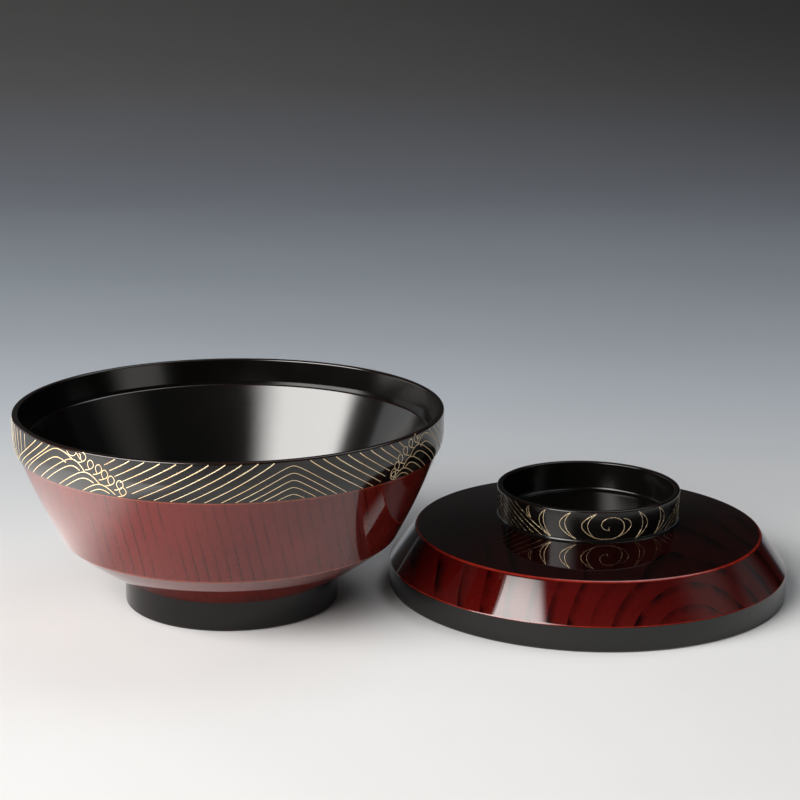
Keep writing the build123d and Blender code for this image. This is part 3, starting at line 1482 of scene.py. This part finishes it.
    def _kept(self, line: Sequence[Spot], room: Callable[[float, float], float]) -> Iterator[Stroke]:
        """Draw the part of a line from its top that has room.

        Args:
            line: The line's spots from its top.
            room: How far, in degrees, a spot is inside the limit; less than nothing is outside.

        Yields:
            The stroke, if enough of it is left.
        """
        spots: list[Spot] = []
        for spot in line:
            left = room(*spot)
            if left < 0:
                if spots:
                    before = room(*spots[-1])
                    spots.append(between(spots[-1], spot, before / (before - left)))
                break
            spots.append(spot)
        if len(spots) > 1:
            yield Stroke(spots, 1.0, self.bottom_width)

    def _crests(self, side: WaveSide) -> Iterator[Stroke]:
        """Draw the crests of a breaking wave, each with the arch inside it.

        Args:
            side: The wave.

        Yields:
            Each crest's stroke and then its arch's.
        """
        follow = [(b[0] - a[0], b[1] - a[1]) for a, b in zip(side.crests, side.crests[1:])]
        for crest, drop, arch_drop in zip(side.crests, [*follow, side.last_drop], self.arch_drops):
            reach = abs(drop[0])
            yield self._crest(side, crest, (reach, -drop[1]))
            arch = (crest[0], crest[1] - arch_drop)
            yield self._crest(side, arch, (reach * self.arch_reach, self.arch_fall))

    def _crest(self, side: WaveSide, crest: Spot, drop: Spot) -> Stroke:
        """Draw one crest.

        Args:
            side: The wave that it belongs to.
            crest: Its highest spot.
            drop: How far it runs on after that, in degrees, and how far it falls there.

        Returns:
            The stroke, from the foot of its long flank.
        """
        fall = max(crest[1] - self.low, self.crest_least)
        flank = self.crest_flank
        up, down = self.crest_pieces
        spots = [(-x / self.per_degree, -flank.drop(x)) for x in steps(flank.run(fall), 0.0, up)]
        reach = drop[0] * math.sqrt(min(drop[1], fall) / drop[1])
        spots += [(a, -drop[1] * (a / drop[0]) ** 2) for a in steps(0.0, reach, down)[1:]]
        placed = [(crest[0] + side.way * a, crest[1] + h) for a, h in spots]
        return Stroke(placed, self.bottom_width, 1.0)

    def _foam(self, side: WaveSide) -> Iterator[Stroke]:
        """Draw the foam buds along the breaking edge and the cups that the lip cuts.

        Args:
            side: The wave.

        Yields:
            One stroke for each bud and cup.
        """
        buds = [
            [(angle + side.way * x / self.per_degree, max(height + y, self.low)) for x, y in self.bud]
            for angle, height in side.buds
        ]
        for spots in (*buds, *side.cups):
            yield Stroke(spots, self.foam_width, self.foam_width)


@dataclass(frozen=True)
class Crescent:
    """One crescent of the knob's ring.

    Attributes:
        upper: Its upper end.
        lower: Its lower end.
        bulges: How far its outer and its inner side bulge, as the angle that they would reach half-way.
    """

    upper: Spot
    lower: Spot
    bulges: tuple[float, float]


@dataclass
class KnobRing:
    """The gold eddies of the knob: a spiral between crescents, with slanting lines to the sides.

    Angles are in degrees from the spiral, heights in millimetres above the knob's base, and widths are
    shares of the full width, at a line's first and last spot.

    Attributes:
        base: Height of the knob's base above the table.
        spiral_angle: Where the spiral is, from the front.
        repeats: How often the pattern goes round the knob.
        per_degree: Length of a degree on the knob.
        tail: The spots of the strand before it winds.
        spiral_centre: The spiral's centre.
        spiral_quarters: Quarter turns from the spiral's lowest spot at which it starts and ends.
        spiral_radius: Its radius at its lowest spot.
        spiral_closing: How much narrower it gets with each quarter turn.
        spiral_breadth: How much wider than high it is.
        spiral_pieces: How many pieces it is drawn with.
        spiral_eye: Its last spot.
        spiral_widths: The strand's widths.
        wrap: The spots of the strand that wraps round the spiral.
        wrap_widths: That strand's widths.
        crescents: The crescents.
        crescent_fullness: How full a crescent's curve is; less is fuller.
        crescent_pieces: How many pieces a crescent's side is drawn with.
        crescent_widths: A crescent's widths.
        slants: The slanting lines of one side, from their feet.
        slant_heights: Height of their feet and tops.
        slant_pieces: How many pieces a slanting line is drawn with.
        slant_widths: A slanting line's widths.
    """

    base: float
    spiral_angle: float = 8.0
    repeats: int = 2
    per_degree: float = 0.504
    tail: tuple[Spot, ...] = ((-9.3, 1.6), (-6.6, 1.25), (-3.3, 1.1))
    spiral_centre: Spot = (0.2, 5.3)
    spiral_quarters: Span = (0.15, 3.9)
    spiral_radius: float = 4.3
    spiral_closing: float = 0.77
    spiral_breadth: float = 1.3
    spiral_pieces: int = 16
    spiral_eye: Spot = (-0.4, 4.9)
    spiral_widths: Span = (0.7, 0.8)
    wrap: tuple[Spot, ...] = (
        (2.3, 1.35), (4.7, 1.6), (7.7, 2.2), (10.7, 3.0), (12.9, 4.1), (13.9, 5.3), (13.3, 6.3), (11.4, 7.2),
        (8.5, 7.6),
    )
    wrap_widths: Span = (0.6, 0.7)
    crescents: tuple[Crescent, ...] = (
        Crescent((-8.4, 9.3), (-9.0, 1.5), (-17.1, -13.5)),
        Crescent((-24.0, 9.3), (-20.3, 0.9), (-30.8, -27.4)),
        Crescent((-40.3, 9.3), (-36.5, 1.0), (-44.6, -41.4)),
        Crescent((-52.4, 9.3), (-51.0, 5.7), (-54.3, -52.4)),
        Crescent((18.5, 9.3), (17.3, 0.6), (25.9, 22.2)),
        Crescent((35.2, 9.3), (32.5, 0.9), (41.3, 37.3)),
    )
    crescent_fullness: float = 0.85
    crescent_pieces: int = 12
    crescent_widths: Span = (0.7, 0.7)
    slants: SlantRow = SlantRow(count=9, start=36.8, spacing=6.1, lean=28.5)
    slant_heights: Span = (0.8, 9.4)
    slant_pieces: int = 8
    slant_widths: Span = (0.36, 0.5)

    def strokes(self) -> list[Stroke]:
        """Draw the whole ring.

        Returns:
            All strokes, turned to their places.
        """
        one = [self._spiral(), Stroke(self.wrap, *self.wrap_widths), *self._crescents(), *self._slants()]
        return [
            stroke.moved(self.spiral_angle + turn, self.base)
            for turn in turns(self.repeats)
            for stroke in one
        ]

    def _spiral(self) -> Stroke:
        """Draw the strand that winds into the spiral.

        Returns:
            Its stroke, from outside.
        """
        spots = [*self.tail]
        for quarter in steps(*self.spiral_quarters, self.spiral_pieces):
            radius = self.spiral_radius - self.spiral_closing * quarter
            turn = math.pi / 2 * (quarter - 1)
            spots.append((
                self.spiral_centre[0] + self.spiral_breadth * radius * math.cos(turn) / self.per_degree,
                self.spiral_centre[1] + radius * math.sin(turn),
            ))
        spots.append(self.spiral_eye)
        return Stroke(spots, *self.spiral_widths)

    def _crescents(self) -> Iterator[Stroke]:
        """Draw both sides of each crescent.

        Yields:
            One stroke for each side.
        """
        for crescent in self.crescents:
            middle = (crescent.upper[0] + crescent.lower[0]) / 2
            for bulge in crescent.bulges:
                spots = []
                for share in steps(0.0, 1.0, self.crescent_pieces):
                    angle, height = between(crescent.upper, crescent.lower, share)
                    swell = math.sin(math.pi * share) ** self.crescent_fullness
                    spots.append((angle + (bulge - middle) * swell, height))
                yield Stroke(spots, *self.crescent_widths)

    def _slants(self) -> Iterator[Stroke]:
        """Draw the slanting lines on both sides, as far as the middle between two spirals.

        Yields:
            One stroke for each line.
        """
        end = 180.0 / self.repeats
        low, high = self.slant_heights
        for way in (-1, 1):
            for foot, lean in self.slants.lines():
                share = min(1.0, (end - foot) / lean)
                start = (way * foot, low)
                stop = (way * (foot + lean * share), low + (high - low) * share)
                spots = [between(start, stop, part) for part in steps(0.0, 1.0, self.slant_pieces)]
                yield Stroke(spots, *self.slant_widths)


def settle(piece: bpy.types.Object, body: Body, slot: Slot, *nodes: str) -> None:
    """Tie a piece to the frame.

    Args:
        piece: The finished piece.
        body: The body that it rides on.
        slot: The record's material slot; not used.
        nodes: The CAD nodes that it stands for.
    """
    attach(piece, body.value)
    if nodes:
        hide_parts(*nodes)
    LOG.info("%s: %d faces, on %s", piece.name, len(piece.data.polygons), body.value)


def dress_node(node: str, finish: Finish) -> None:
    """Give a CAD node a finish.

    Args:
        node: The node's name.
        finish: Its finish.
    """
    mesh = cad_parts[node].data
    mesh.materials.clear()
    mesh.materials.append(finish.material())
    LOG.info("%s: kept from the frame as %s", node, finish.name)


@dataclass(frozen=True)
class Coat:
    """One coat of an assembly.

    Attributes:
        name: What its piece and its CAD node are named for.
        finish: Its finish.
        slot: The record's material slot.
    """

    name: str
    finish: Finish
    slot: Slot


@dataclass(kw_only=True)
class TurnedAssembly(ABC):
    """A turned piece of wood under cloth strips and coats, with gold lines; sizes in millimetres.

    Attributes:
        body: The body that its pieces ride on.
        coats: Its coats, in the order of its outline.
        gold_piece: Name of its gold lines.
        gold: Their finish.
        wood_node: The CAD node of its wood.
        cloth_nodes: The CAD nodes of its cloth strips.
        axis: Where its axis meets the table, in metres.
        coat_thickness: Thickness of the coats.
        lip_rounding: Rounding of both edges of its lip.
        line_width: Full width of a gold line.
    """

    body: ClassVar[Body]
    coats: ClassVar[tuple[Coat, ...]]
    gold_piece: ClassVar[str]
    gold: ClassVar[Finish]
    wood_node: ClassVar[str]
    cloth_nodes: ClassVar[tuple[str, ...]]

    axis: Vector
    coat_thickness: float = 0.35
    lip_rounding: float = 0.5
    line_width: float

    @abstractmethod
    def outline(self) -> TurnedOutline:
        """Return the outline, split into the coats."""

    @abstractmethod
    def gold_surface(self) -> TurnedSurface:
        """Return the surface that the gold lines lie on."""

    @abstractmethod
    def gold_strokes(self) -> list[Stroke]:
        """Return the gold lines."""

    def build(self, lathe: Lathe, pen: GoldPen) -> None:
        """Turn the coats, draw the gold lines and dress what lies under them.

        Args:
            lathe: Turns the coats.
            pen: Draws the gold lines.
        """
        for coat, section in zip(self.coats, self.outline().coats()):
            piece = lathe.turn(f"{coat.name}_lacquer", section, self.axis, coat.finish)
            settle(piece, self.body, coat.slot, f"{coat.name}_coat")
        strokes, surface = self.gold_strokes(), self.gold_surface()
        lines = pen.draw(self.gold_piece, strokes, surface, self.line_width, self.gold)
        settle(lines, self.body, Slot.GOLD)
        dress_node(self.wood_node, TurnedWood())
        for node in self.cloth_nodes:
            dress_node(node, LacqueredCloth())


@dataclass(kw_only=True)
class BowlAssembly(TurnedAssembly):
    """The bowl: its sizes in millimetres, its coats and its gold band.

    Attributes:
        rim_radius: Radius of the lip.
        height: Height of the lip.
        band_bottom: Height of the rim band's lower edge.
        foot_radius: Radius of the ring foot.
        foot_height: Height of its upper edge.
        lip_wall: Thickness of the lip.
        rim_straight: How far down the band is straight.
        rim_draw_in: How far it draws in below that.
        rim_draw_in_radius: Radius of that curve.
        rim_step: Step from the band in to the wall.
        rim_swell: Bulge of the band's curve.
        collar_depth: Depth of the collar for the lid.
        ledge_width: Width of the ledge under it.
        ledge_rounding: Rounding of the ledge.
        worn_highlight_line: Width of the line under the band that is marked worn, which is also a painted
            highlight.
        corner_radius: Radius of the corner under the wall.
        corner_height: Height of that corner.
        corner_rounding: Its rounding.
        wall_swell: Bulge of the wall.
        slope_swell: Bulge of the slope above the foot.
        floor_radius: Radius of the hollow's floor.
        floor_height: Height of that floor.
        floor_rounding: Rounding at its edge.
        foot_wall: Thickness of the ring foot.
        foot_rounding: Rounding of its lower edges.
        recess_depth: Depth of the recess in it.
        recess_rounding: Rounding in the recess.
        line_width: Full width of a gold line.
    """

    body = Body.BOWL
    coats = (
        Coat("bowl_inside", INSIDE_BLACK, Slot.BLACK),
        Coat("bowl_rim", RIM_BLACK, Slot.BLACK),
        Coat("bowl_wall", WALL_AMBER, Slot.AMBER),
        Coat("bowl_foot", FOOT_BLACK, Slot.BLACK),
    )
    gold_piece = "bowl_gold_waves"
    gold = BAND_GOLD
    wood_node = "bowl_core"
    cloth_nodes = ("bowl_rim_cloth", "bowl_foot_cloth")

    rim_radius: float
    height: float
    band_bottom: float
    foot_radius: float
    foot_height: float
    lip_wall: float = 1.9
    rim_straight: float = 6.6
    rim_draw_in: float = 1.1
    rim_draw_in_radius: float = 13.35
    rim_step: float = 0.3
    rim_swell: float = 0.277
    collar_depth: float = 8.1
    ledge_width: float = 2.4
    ledge_rounding: float = 1.0
    worn_highlight_line: float = 0.4
    corner_radius: float = 51.9
    corner_height: float = 22.0
    corner_rounding: float = 3.0
    wall_swell: float = 0.55
    slope_swell: float = 0.5
    floor_radius: float = 41.5
    floor_height: float = 12.5
    floor_rounding: float = 30.0
    foot_wall: float = 4.0
    foot_rounding: float = 0.9
    recess_depth: float = 6.5
    recess_rounding: float = 1.5
    line_width: float = 0.31

    @classmethod
    def measured(cls) -> "BowlAssembly":
        """Take the sizes that the frame gives from its nodes.

        Returns:
            The bowl.
        """
        rim_low, rim_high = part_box("bowl_rim_coat")
        _, foot_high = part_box("bowl_foot_coat")
        return cls(
            axis=Vector((0.0, 0.0, 0.0)),
            rim_radius=rim_high.x / MM,
            height=rim_high.z / MM,
            band_bottom=rim_low.z / MM,
            foot_radius=foot_high.x / MM,
            foot_height=foot_high.z / MM,
        )

    def outline(self) -> TurnedOutline:
        """Return the bowl's outline, from the middle of its hollow to the middle of its recess.

        Returns:
            The outline, split into its four coats.
        """
        collar = self.rim_radius - self.lip_wall
        ledge = self.height - self.collar_depth
        band_edge = self.rim_radius - self.rim_draw_in
        recess = self.foot_radius - self.foot_wall
        corner = Vector((self.corner_radius, self.corner_height))
        wall_top = Vector((band_edge - self.rim_step, self.band_bottom))
        # The line under the band is marked worn; it is partly rubbed colour and partly a painted highlight
        worn_highlight_end = wall_top.lerp(corner, self.worn_highlight_line / (self.band_bottom - self.corner_height))
        return TurnedOutline((
            Corner(0.0, self.floor_height),
            Corner(self.floor_radius, self.floor_height, rounding=self.floor_rounding),
            Corner(collar - self.ledge_width, ledge, rounding=self.ledge_rounding),
            Corner(collar, ledge),
            Corner(collar, self.height, rounding=self.lip_rounding),
            Corner(self.rim_radius - self.lip_wall / 2, self.height, split=True),
            Corner(self.rim_radius, self.height, rounding=self.lip_rounding),
            Corner(self.rim_radius, self.height - self.rim_straight, swell=self.rim_swell),
            Corner(band_edge, self.band_bottom),
            # Painted highlight line under the band, marked as a worn edge
            Corner(wall_top.x, wall_top.y, worn=1.0, split=True),
            Corner(worn_highlight_end.x, worn_highlight_end.y, swell=self.wall_swell, worn=1.0),
            Corner(corner.x, corner.y, rounding=self.corner_rounding, swell=self.slope_swell),
            Corner(self.foot_radius, self.foot_height, split=True),
            Corner(self.foot_radius, 0.0, rounding=self.foot_rounding),
            Corner(recess, 0.0, rounding=self.foot_rounding),
            Corner(recess, self.recess_depth, rounding=self.recess_rounding),
            Corner(0.0, self.recess_depth),
        ), self.coat_thickness)

    def gold_surface(self) -> TurnedSurface:
        """Return the rim's band, from its lip to its lower edge.

        Returns:
            The band's surface.
        """
        return TurnedSurface(
            self.axis,
            self.rim_radius,
            straight_low=self.height - self.rim_straight,
            straight_high=self.height - self.lip_rounding,
            draw_in_radius=self.rim_draw_in_radius,
            lip_rounding=self.lip_rounding,
        )

    def gold_strokes(self) -> list[Stroke]:
        """Return the waves of the band."""
        return WaveBand().strokes()


@dataclass(kw_only=True)
class LidAssembly(TurnedAssembly):
    """The lid: its sizes in millimetres, its coats and the gold ring of its knob.

    Attributes:
        radius: Radius of the edge.
        edge_height: Height of the upright edge.
        height: Height of the knob's lip.
        knob_radius: Radius of the knob's lip.
        knob_flare: How much narrower the knob is at its base.
        knob_base: Height of its base.
        knob_base_rounding: Rounding at its base.
        knob_wall: Thickness of its ring.
        knob_depth: Depth of its hollow.
        knob_floor_rounding: Rounding in the hollow.
        crown_depth: How deep the crown's colour is, from 0 to 1.
        bevel_width: Width of the bevel, seen from above.
        bevel_rounding: Rounding of its lower edge.
        bevel_depth: How deep its colour is at its top.
        bevel_ebb: How much shallower it gets downwards.
        shoulder_height: Height of the shoulder above the bevel.
        shoulder_rounding: Rounding of the shoulder.
        edge_wall: Thickness of the edge.
        edge_rounding: Rounding of its lower corners.
        inner_edge_top: Height of its inner side.
        inner_shoulder_radius: Radius of the corner under the shoulder.
        inner_shoulder_height: Height of that corner.
        inner_shoulder_rounding: Its rounding.
        crown_wall: Thickness of the crown.
        line_width: Full width of a gold line.
    """

    body = Body.LID
    coats = (
        Coat("lid_knob", KNOB_BLACK, Slot.BLACK),
        Coat("lid_top", TOP_AMBER, Slot.AMBER),
        Coat("lid_edge", EDGE_BLACK, Slot.BLACK),
        Coat("lid_inside", INSIDE_BLACK, Slot.BLACK),
    )
    gold_piece = "lid_gold_waves"
    gold = KNOB_GOLD
    wood_node = "lid_core"
    cloth_nodes = ("lid_edge_cloth", "lid_knob_cloth")

    radius: float
    edge_height: float
    height: float
    knob_radius: float
    knob_flare: float = 0.6
    knob_base: float = 22.3
    knob_base_rounding: float = 1.0
    knob_wall: float = 1.9
    knob_depth: float = 9.4
    knob_floor_rounding: float = 1.2
    crown_depth: float = 1.0
    bevel_width: float = 8.5
    bevel_rounding: float = 1.0
    bevel_depth: float = 0.66
    bevel_ebb: float = 0.34
    shoulder_height: float = 19.0
    shoulder_rounding: float = 1.6
    edge_wall: float = 2.8
    edge_rounding: float = 0.9
    inner_edge_top: float = 5.64
    inner_shoulder_radius: float = 52.93
    inner_shoulder_height: float = 15.65
    inner_shoulder_rounding: float = 6.0
    crown_wall: float = 3.6
    line_width: float = 0.28

    @classmethod
    def measured(cls) -> "LidAssembly":
        """Take the place and the sizes that the frame gives from its nodes.

        Returns:
            The lid.
        """
        edge_low, edge_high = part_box("lid_edge_coat")
        knob_low, knob_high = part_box("lid_knob_coat")
        middle = (edge_low + edge_high) / 2
        return cls(
            axis=Vector((middle.x, middle.y, 0.0)),
            radius=(edge_high.x - edge_low.x) / 2 / MM,
            edge_height=edge_high.z / MM,
            height=knob_high.z / MM,
            knob_radius=(knob_high.x - knob_low.x) / 2 / MM - cls.coat_thickness,
        )

    def outline(self) -> TurnedOutline:
        """Return the lid's outline, from the middle of its knob to the middle of its underside.

        Returns:
            The outline, split into its four coats.
        """
        knob_foot = self.knob_radius - self.knob_flare
        knob_floor = self.height - self.knob_depth
        knob_join = self.knob_radius + self.coat_thickness
        shoulder = self.radius - self.bevel_width
        crown_slope = (self.knob_base - self.shoulder_height) / (shoulder - knob_foot)
        crown_join = self.knob_base - crown_slope * (knob_join - knob_foot)
        inner = self.radius - self.edge_wall
        under = self.knob_base - self.crown_wall
        return TurnedOutline((
            Corner(0.0, knob_floor),
            Corner(knob_foot - self.knob_wall, knob_floor, rounding=self.knob_floor_rounding),
            Corner(self.knob_radius - self.knob_wall, self.height, rounding=self.lip_rounding),
            Corner(self.knob_radius, self.height, rounding=self.lip_rounding),
            Corner(knob_foot, self.knob_base, rounding=self.knob_base_rounding, depth=self.crown_depth),
            Corner(knob_join, crown_join, depth=self.crown_depth, split=True),
            Corner(
                shoulder, self.shoulder_height,
                rounding=self.shoulder_rounding, depth=self.bevel_depth, ebb=self.bevel_ebb,
            ),
            Corner(self.radius, self.edge_height, rounding=self.bevel_rounding, split=True),
            Corner(self.radius, 0.0, rounding=self.edge_rounding),
            Corner(inner, 0.0, rounding=self.edge_rounding),
            Corner(inner, self.edge_rounding, split=True),
            Corner(inner, self.inner_edge_top),
            Corner(
                self.inner_shoulder_radius, self.inner_shoulder_height,
                rounding=self.inner_shoulder_rounding,
            ),
            Corner(knob_foot, under),
            Corner(0.0, under),
        ), self.coat_thickness)

    def gold_surface(self) -> TurnedSurface:
        """Return the knob's outer side, from its lip to its base.

        Returns:
            The knob's surface.
        """
        return TurnedSurface(
            self.axis,
            self.knob_radius,
            straight_low=self.knob_base,
            straight_high=self.height - self.lip_rounding,
            lip_rounding=self.lip_rounding,
            taper=self.knob_flare / (self.height - self.knob_base),
        )

    def gold_strokes(self) -> list[Stroke]:
        """Return the eddies of the knob."""
        return KnobRing(self.knob_base).strokes()


@dataclass(frozen=True)
class Softbox:
    """A soft light, or a card that throws light back.

    Attributes:
        name: Its name.
        direction: Where it stands, seen from the aim.
        distance: How far from the aim, in metres.
        width: Its width in metres.
        height: Its height in metres.
        radiance: How bright its face is, where a white sheet in plain light is 1.
        colour: Its colour.
        fades: Shares of its face over which it fades out: at its left and right as seen from behind it,
            its foot and its head.
        facing: Which way its face points, where that isn't at the aim.
        cut: A flag over its upper edge: how far the flag's edge slants, and where its shade starts and
            is full.
    """

    name: str
    direction: Triple
    distance: float
    width: float
    height: float
    radiance: float
    colour: Triple
    fades: tuple[float, float, float, float]
    facing: Triple | None = None
    cut: Triple | None = None

    def place(self, aim: Vector) -> None:
        """Put the light up.

        Args:
            aim: Where the lights stand around, and where most of them point.
        """
        lamp = bpy.data.lights.new(self.name, "AREA")
        lamp.shape = "RECTANGLE"
        lamp.size = self.width
        lamp.size_y = self.height
        lamp.energy = self.radiance * self.width * self.height * math.pi
        lamp.color = self.colour
        self._fade(lamp)
        away = Vector(self.direction).normalized()
        back = -Vector(self.facing) if self.facing else away
        stand = bpy.data.objects.new(self.name, lamp)
        stand.location = aim + away * self.distance
        stand.rotation_mode = "QUATERNION"
        stand.rotation_quaternion = back.to_track_quat("Z", "Y")
        bpy.context.scene.collection.objects.link(stand)

    def _fade(self, lamp: bpy.types.AreaLight) -> None:
        """Let the light's face fade out towards its edges.

        Args:
            lamp: The light.
        """
        lamp.use_nodes = True
        lamp.node_tree.nodes.clear()
        pad = NodePad(lamp.node_tree)
        spot = pad.add("ShaderNodeNewGeometry").outputs["Parametric"]
        across, up, _ = pad.add("ShaderNodeSeparateXYZ", {0: spot}).outputs
        left, right, foot, head = self.fades
        glow = pad.product(
            pad.spread(across, (0.0, left), RISE),
            pad.spread(across, (1 - right, 1.0), FALL),
            pad.spread(up, (0.0, foot), RISE),
            pad.spread(up, (1 - head, 1.0), FALL),
        )
        if self.cut:
            slant, start, end = self.cut
            edge = pad.math("MULTIPLY_ADD", across, slant, up)
            glow = pad.product(glow, pad.spread(edge, (start, end), FALL))
        face = pad.add("ShaderNodeEmission", {"Strength": glow})
        pad.add("ShaderNodeOutputLight", {0: face.outputs[0]})


KEY_WHITE: Triple = (1.0, 0.975, 0.95)
WARM_WHITE: Triple = (1.0, 0.96, 0.91)
COOL_WHITE: Triple = (0.97, 0.98, 1.0)
UPWARDS: Triple = (0.0, 0.0, 1.0)


@dataclass
class Studio:
    """Camera, paper sweep, lights and surroundings, in metres and degrees.

    Attributes:
        lens: The camera's focal length, in millimetres.
        sensor: Width of its sensor, in millimetres.
        camera_place: Where it stands.
        camera_pitch: How far it is tilted up from looking straight down.
        camera_roll: How far it is turned about its line of sight.
        aim: What the lights stand around.
        sweep_half_width: Half the paper's width.
        sweep_front: Where the paper starts.
        sweep_flat: Where it turns up.
        cove_radius: Radius of that turn.
        cove_pieces: How many pieces the turn has.
        wall_top: How high the paper goes.
        surroundings: Colour of the light from all round.
        surroundings_strength: Its strength.
        lights: The lights and cards.
    """

    lens: float = 85.96
    sensor: float = 36.0
    camera_place: Triple = (0.0524, -0.57034, 0.20488)
    camera_pitch: float = 76.08
    camera_roll: float = 0.39
    aim: Triple = (0.055, 0.0, 0.03)
    sweep_half_width: float = 4.0
    sweep_front: float = -0.27
    sweep_flat: float = 0.9
    cove_radius: float = 1.5
    cove_pieces: int = 24
    wall_top: float = 3.0
    surroundings: Colour = (0.9, 0.95, 1.0, 1.0)
    surroundings_strength: float = 0.03
    lights: tuple[Softbox, ...] = (
        Softbox(
            "key_softbox", (-0.6764, -0.5675, 0.4695), distance=1.6, width=2.0, height=1.56, radiance=9.6,
            colour=KEY_WHITE, fades=(0.16, 0.36, 0.3, 0.04), cut=(-0.333, 0.735, 0.8),
        ),
        Softbox(
            "back_reflector", (-0.825, 0.515, 0.23), distance=1.15, width=0.7, height=0.6, radiance=0.65,
            colour=COOL_WHITE, fades=(0.05, 0.05, 0.2, 0.2),
        ),
        Softbox(
            "right_reflector", (0.832, -0.102, 0.545), distance=1.1, width=0.9, height=0.5, radiance=0.25,
            colour=WARM_WHITE, fades=(0.45, 0.5, 0.45, 0.45),
        ),
        Softbox(
            "right_card", (0.95, 0.31, 0.2), distance=0.42, width=0.2, height=0.14, radiance=0.14,
            colour=COOL_WHITE, fades=(0.04, 0.5, 0.2, 0.3),
        ),
        Softbox(
            "top_fill", (0.302, 0.36, 0.883), distance=1.3, width=1.2, height=1.0, radiance=1.8,
            colour=COOL_WHITE, fades=(0.3, 0.3, 0.3, 0.3),
        ),
        Softbox(
            "left_card", (-0.9504, -0.2924, -0.1065), distance=0.2394, width=0.255, height=0.3, radiance=1.95,
            colour=WARM_WHITE, fades=(0.12, 0.5, 0.3, 0.53), facing=UPWARDS,
        ),
    )

    def build(self) -> None:
        """Set up everything round the object."""
        bpy.context.scene.view_settings.view_transform = "Standard"
        self._camera()
        self._sweep()
        for light in self.lights:
            light.place(Vector(self.aim))
        self._surroundings()

    def _camera(self) -> None:
        """Place the camera where the photograph was taken from."""
        data = bpy.data.cameras.new("photograph_camera")
        data.lens = self.lens
        data.sensor_width = self.sensor
        camera = bpy.data.objects.new("photograph_camera", data)
        turn = Matrix.Rotation(math.radians(self.camera_pitch), 4, "X")
        turn @= Matrix.Rotation(math.radians(self.camera_roll), 4, "Z")
        camera.matrix_world = Matrix.Translation(Vector(self.camera_place)) @ turn
        bpy.context.scene.collection.objects.link(camera)
        bpy.context.scene.camera = camera

    def _sweep(self) -> None:
        """Hang the paper: a flat floor that turns up behind the object."""
        line = [(self.sweep_front, 0.0), (self.sweep_flat, 0.0)]
        for turn in steps(0.0, math.pi / 2, self.cove_pieces)[1:]:
            line.append((
                self.sweep_flat + self.cove_radius * math.sin(turn),
                self.cove_radius * (1 - math.cos(turn)),
            ))
        line.append((self.sweep_flat + self.cove_radius, self.wall_top))
        points = [(x, y, z) for y, z in line for x in (-self.sweep_half_width, self.sweep_half_width)]
        faces = [(2 * i, 2 * i + 1, 2 * i + 3, 2 * i + 2) for i in range(len(line) - 1)]
        mesh = bpy.data.meshes.new("paper_sweep")
        mesh.from_pydata(points, [], faces)
        mesh.shade_smooth()
        mesh.materials.append(PaperSweep().material())
        sweep = bpy.data.objects.new("paper_sweep", mesh)
        bpy.context.scene.collection.objects.link(sweep)

    def _surroundings(self) -> None:
        """Let a little light come from all round."""
        world = bpy.data.worlds.new("studio_surroundings")
        world.use_nodes = True
        world.node_tree.nodes.clear()
        pad = NodePad(world.node_tree)
        glow = pad.add("ShaderNodeBackground", {
            "Color": self.surroundings, "Strength": self.surroundings_strength,
        })
        pad.add("ShaderNodeOutputWorld", {"Surface": glow.outputs[0]})
        bpy.context.scene.world = world


def main() -> None:
    """Build the studio, the bowl and the lid; each new piece's face count is logged."""
    logging.basicConfig(level=logging.INFO, format="%(name)s: %(message)s")
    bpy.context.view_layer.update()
    Studio().build()
    lathe, pen = Lathe(), GoldPen()
    BowlAssembly.measured().build(lathe, pen)
    LidAssembly.measured().build(lathe, pen)


if __name__ == "__main__":
    main()
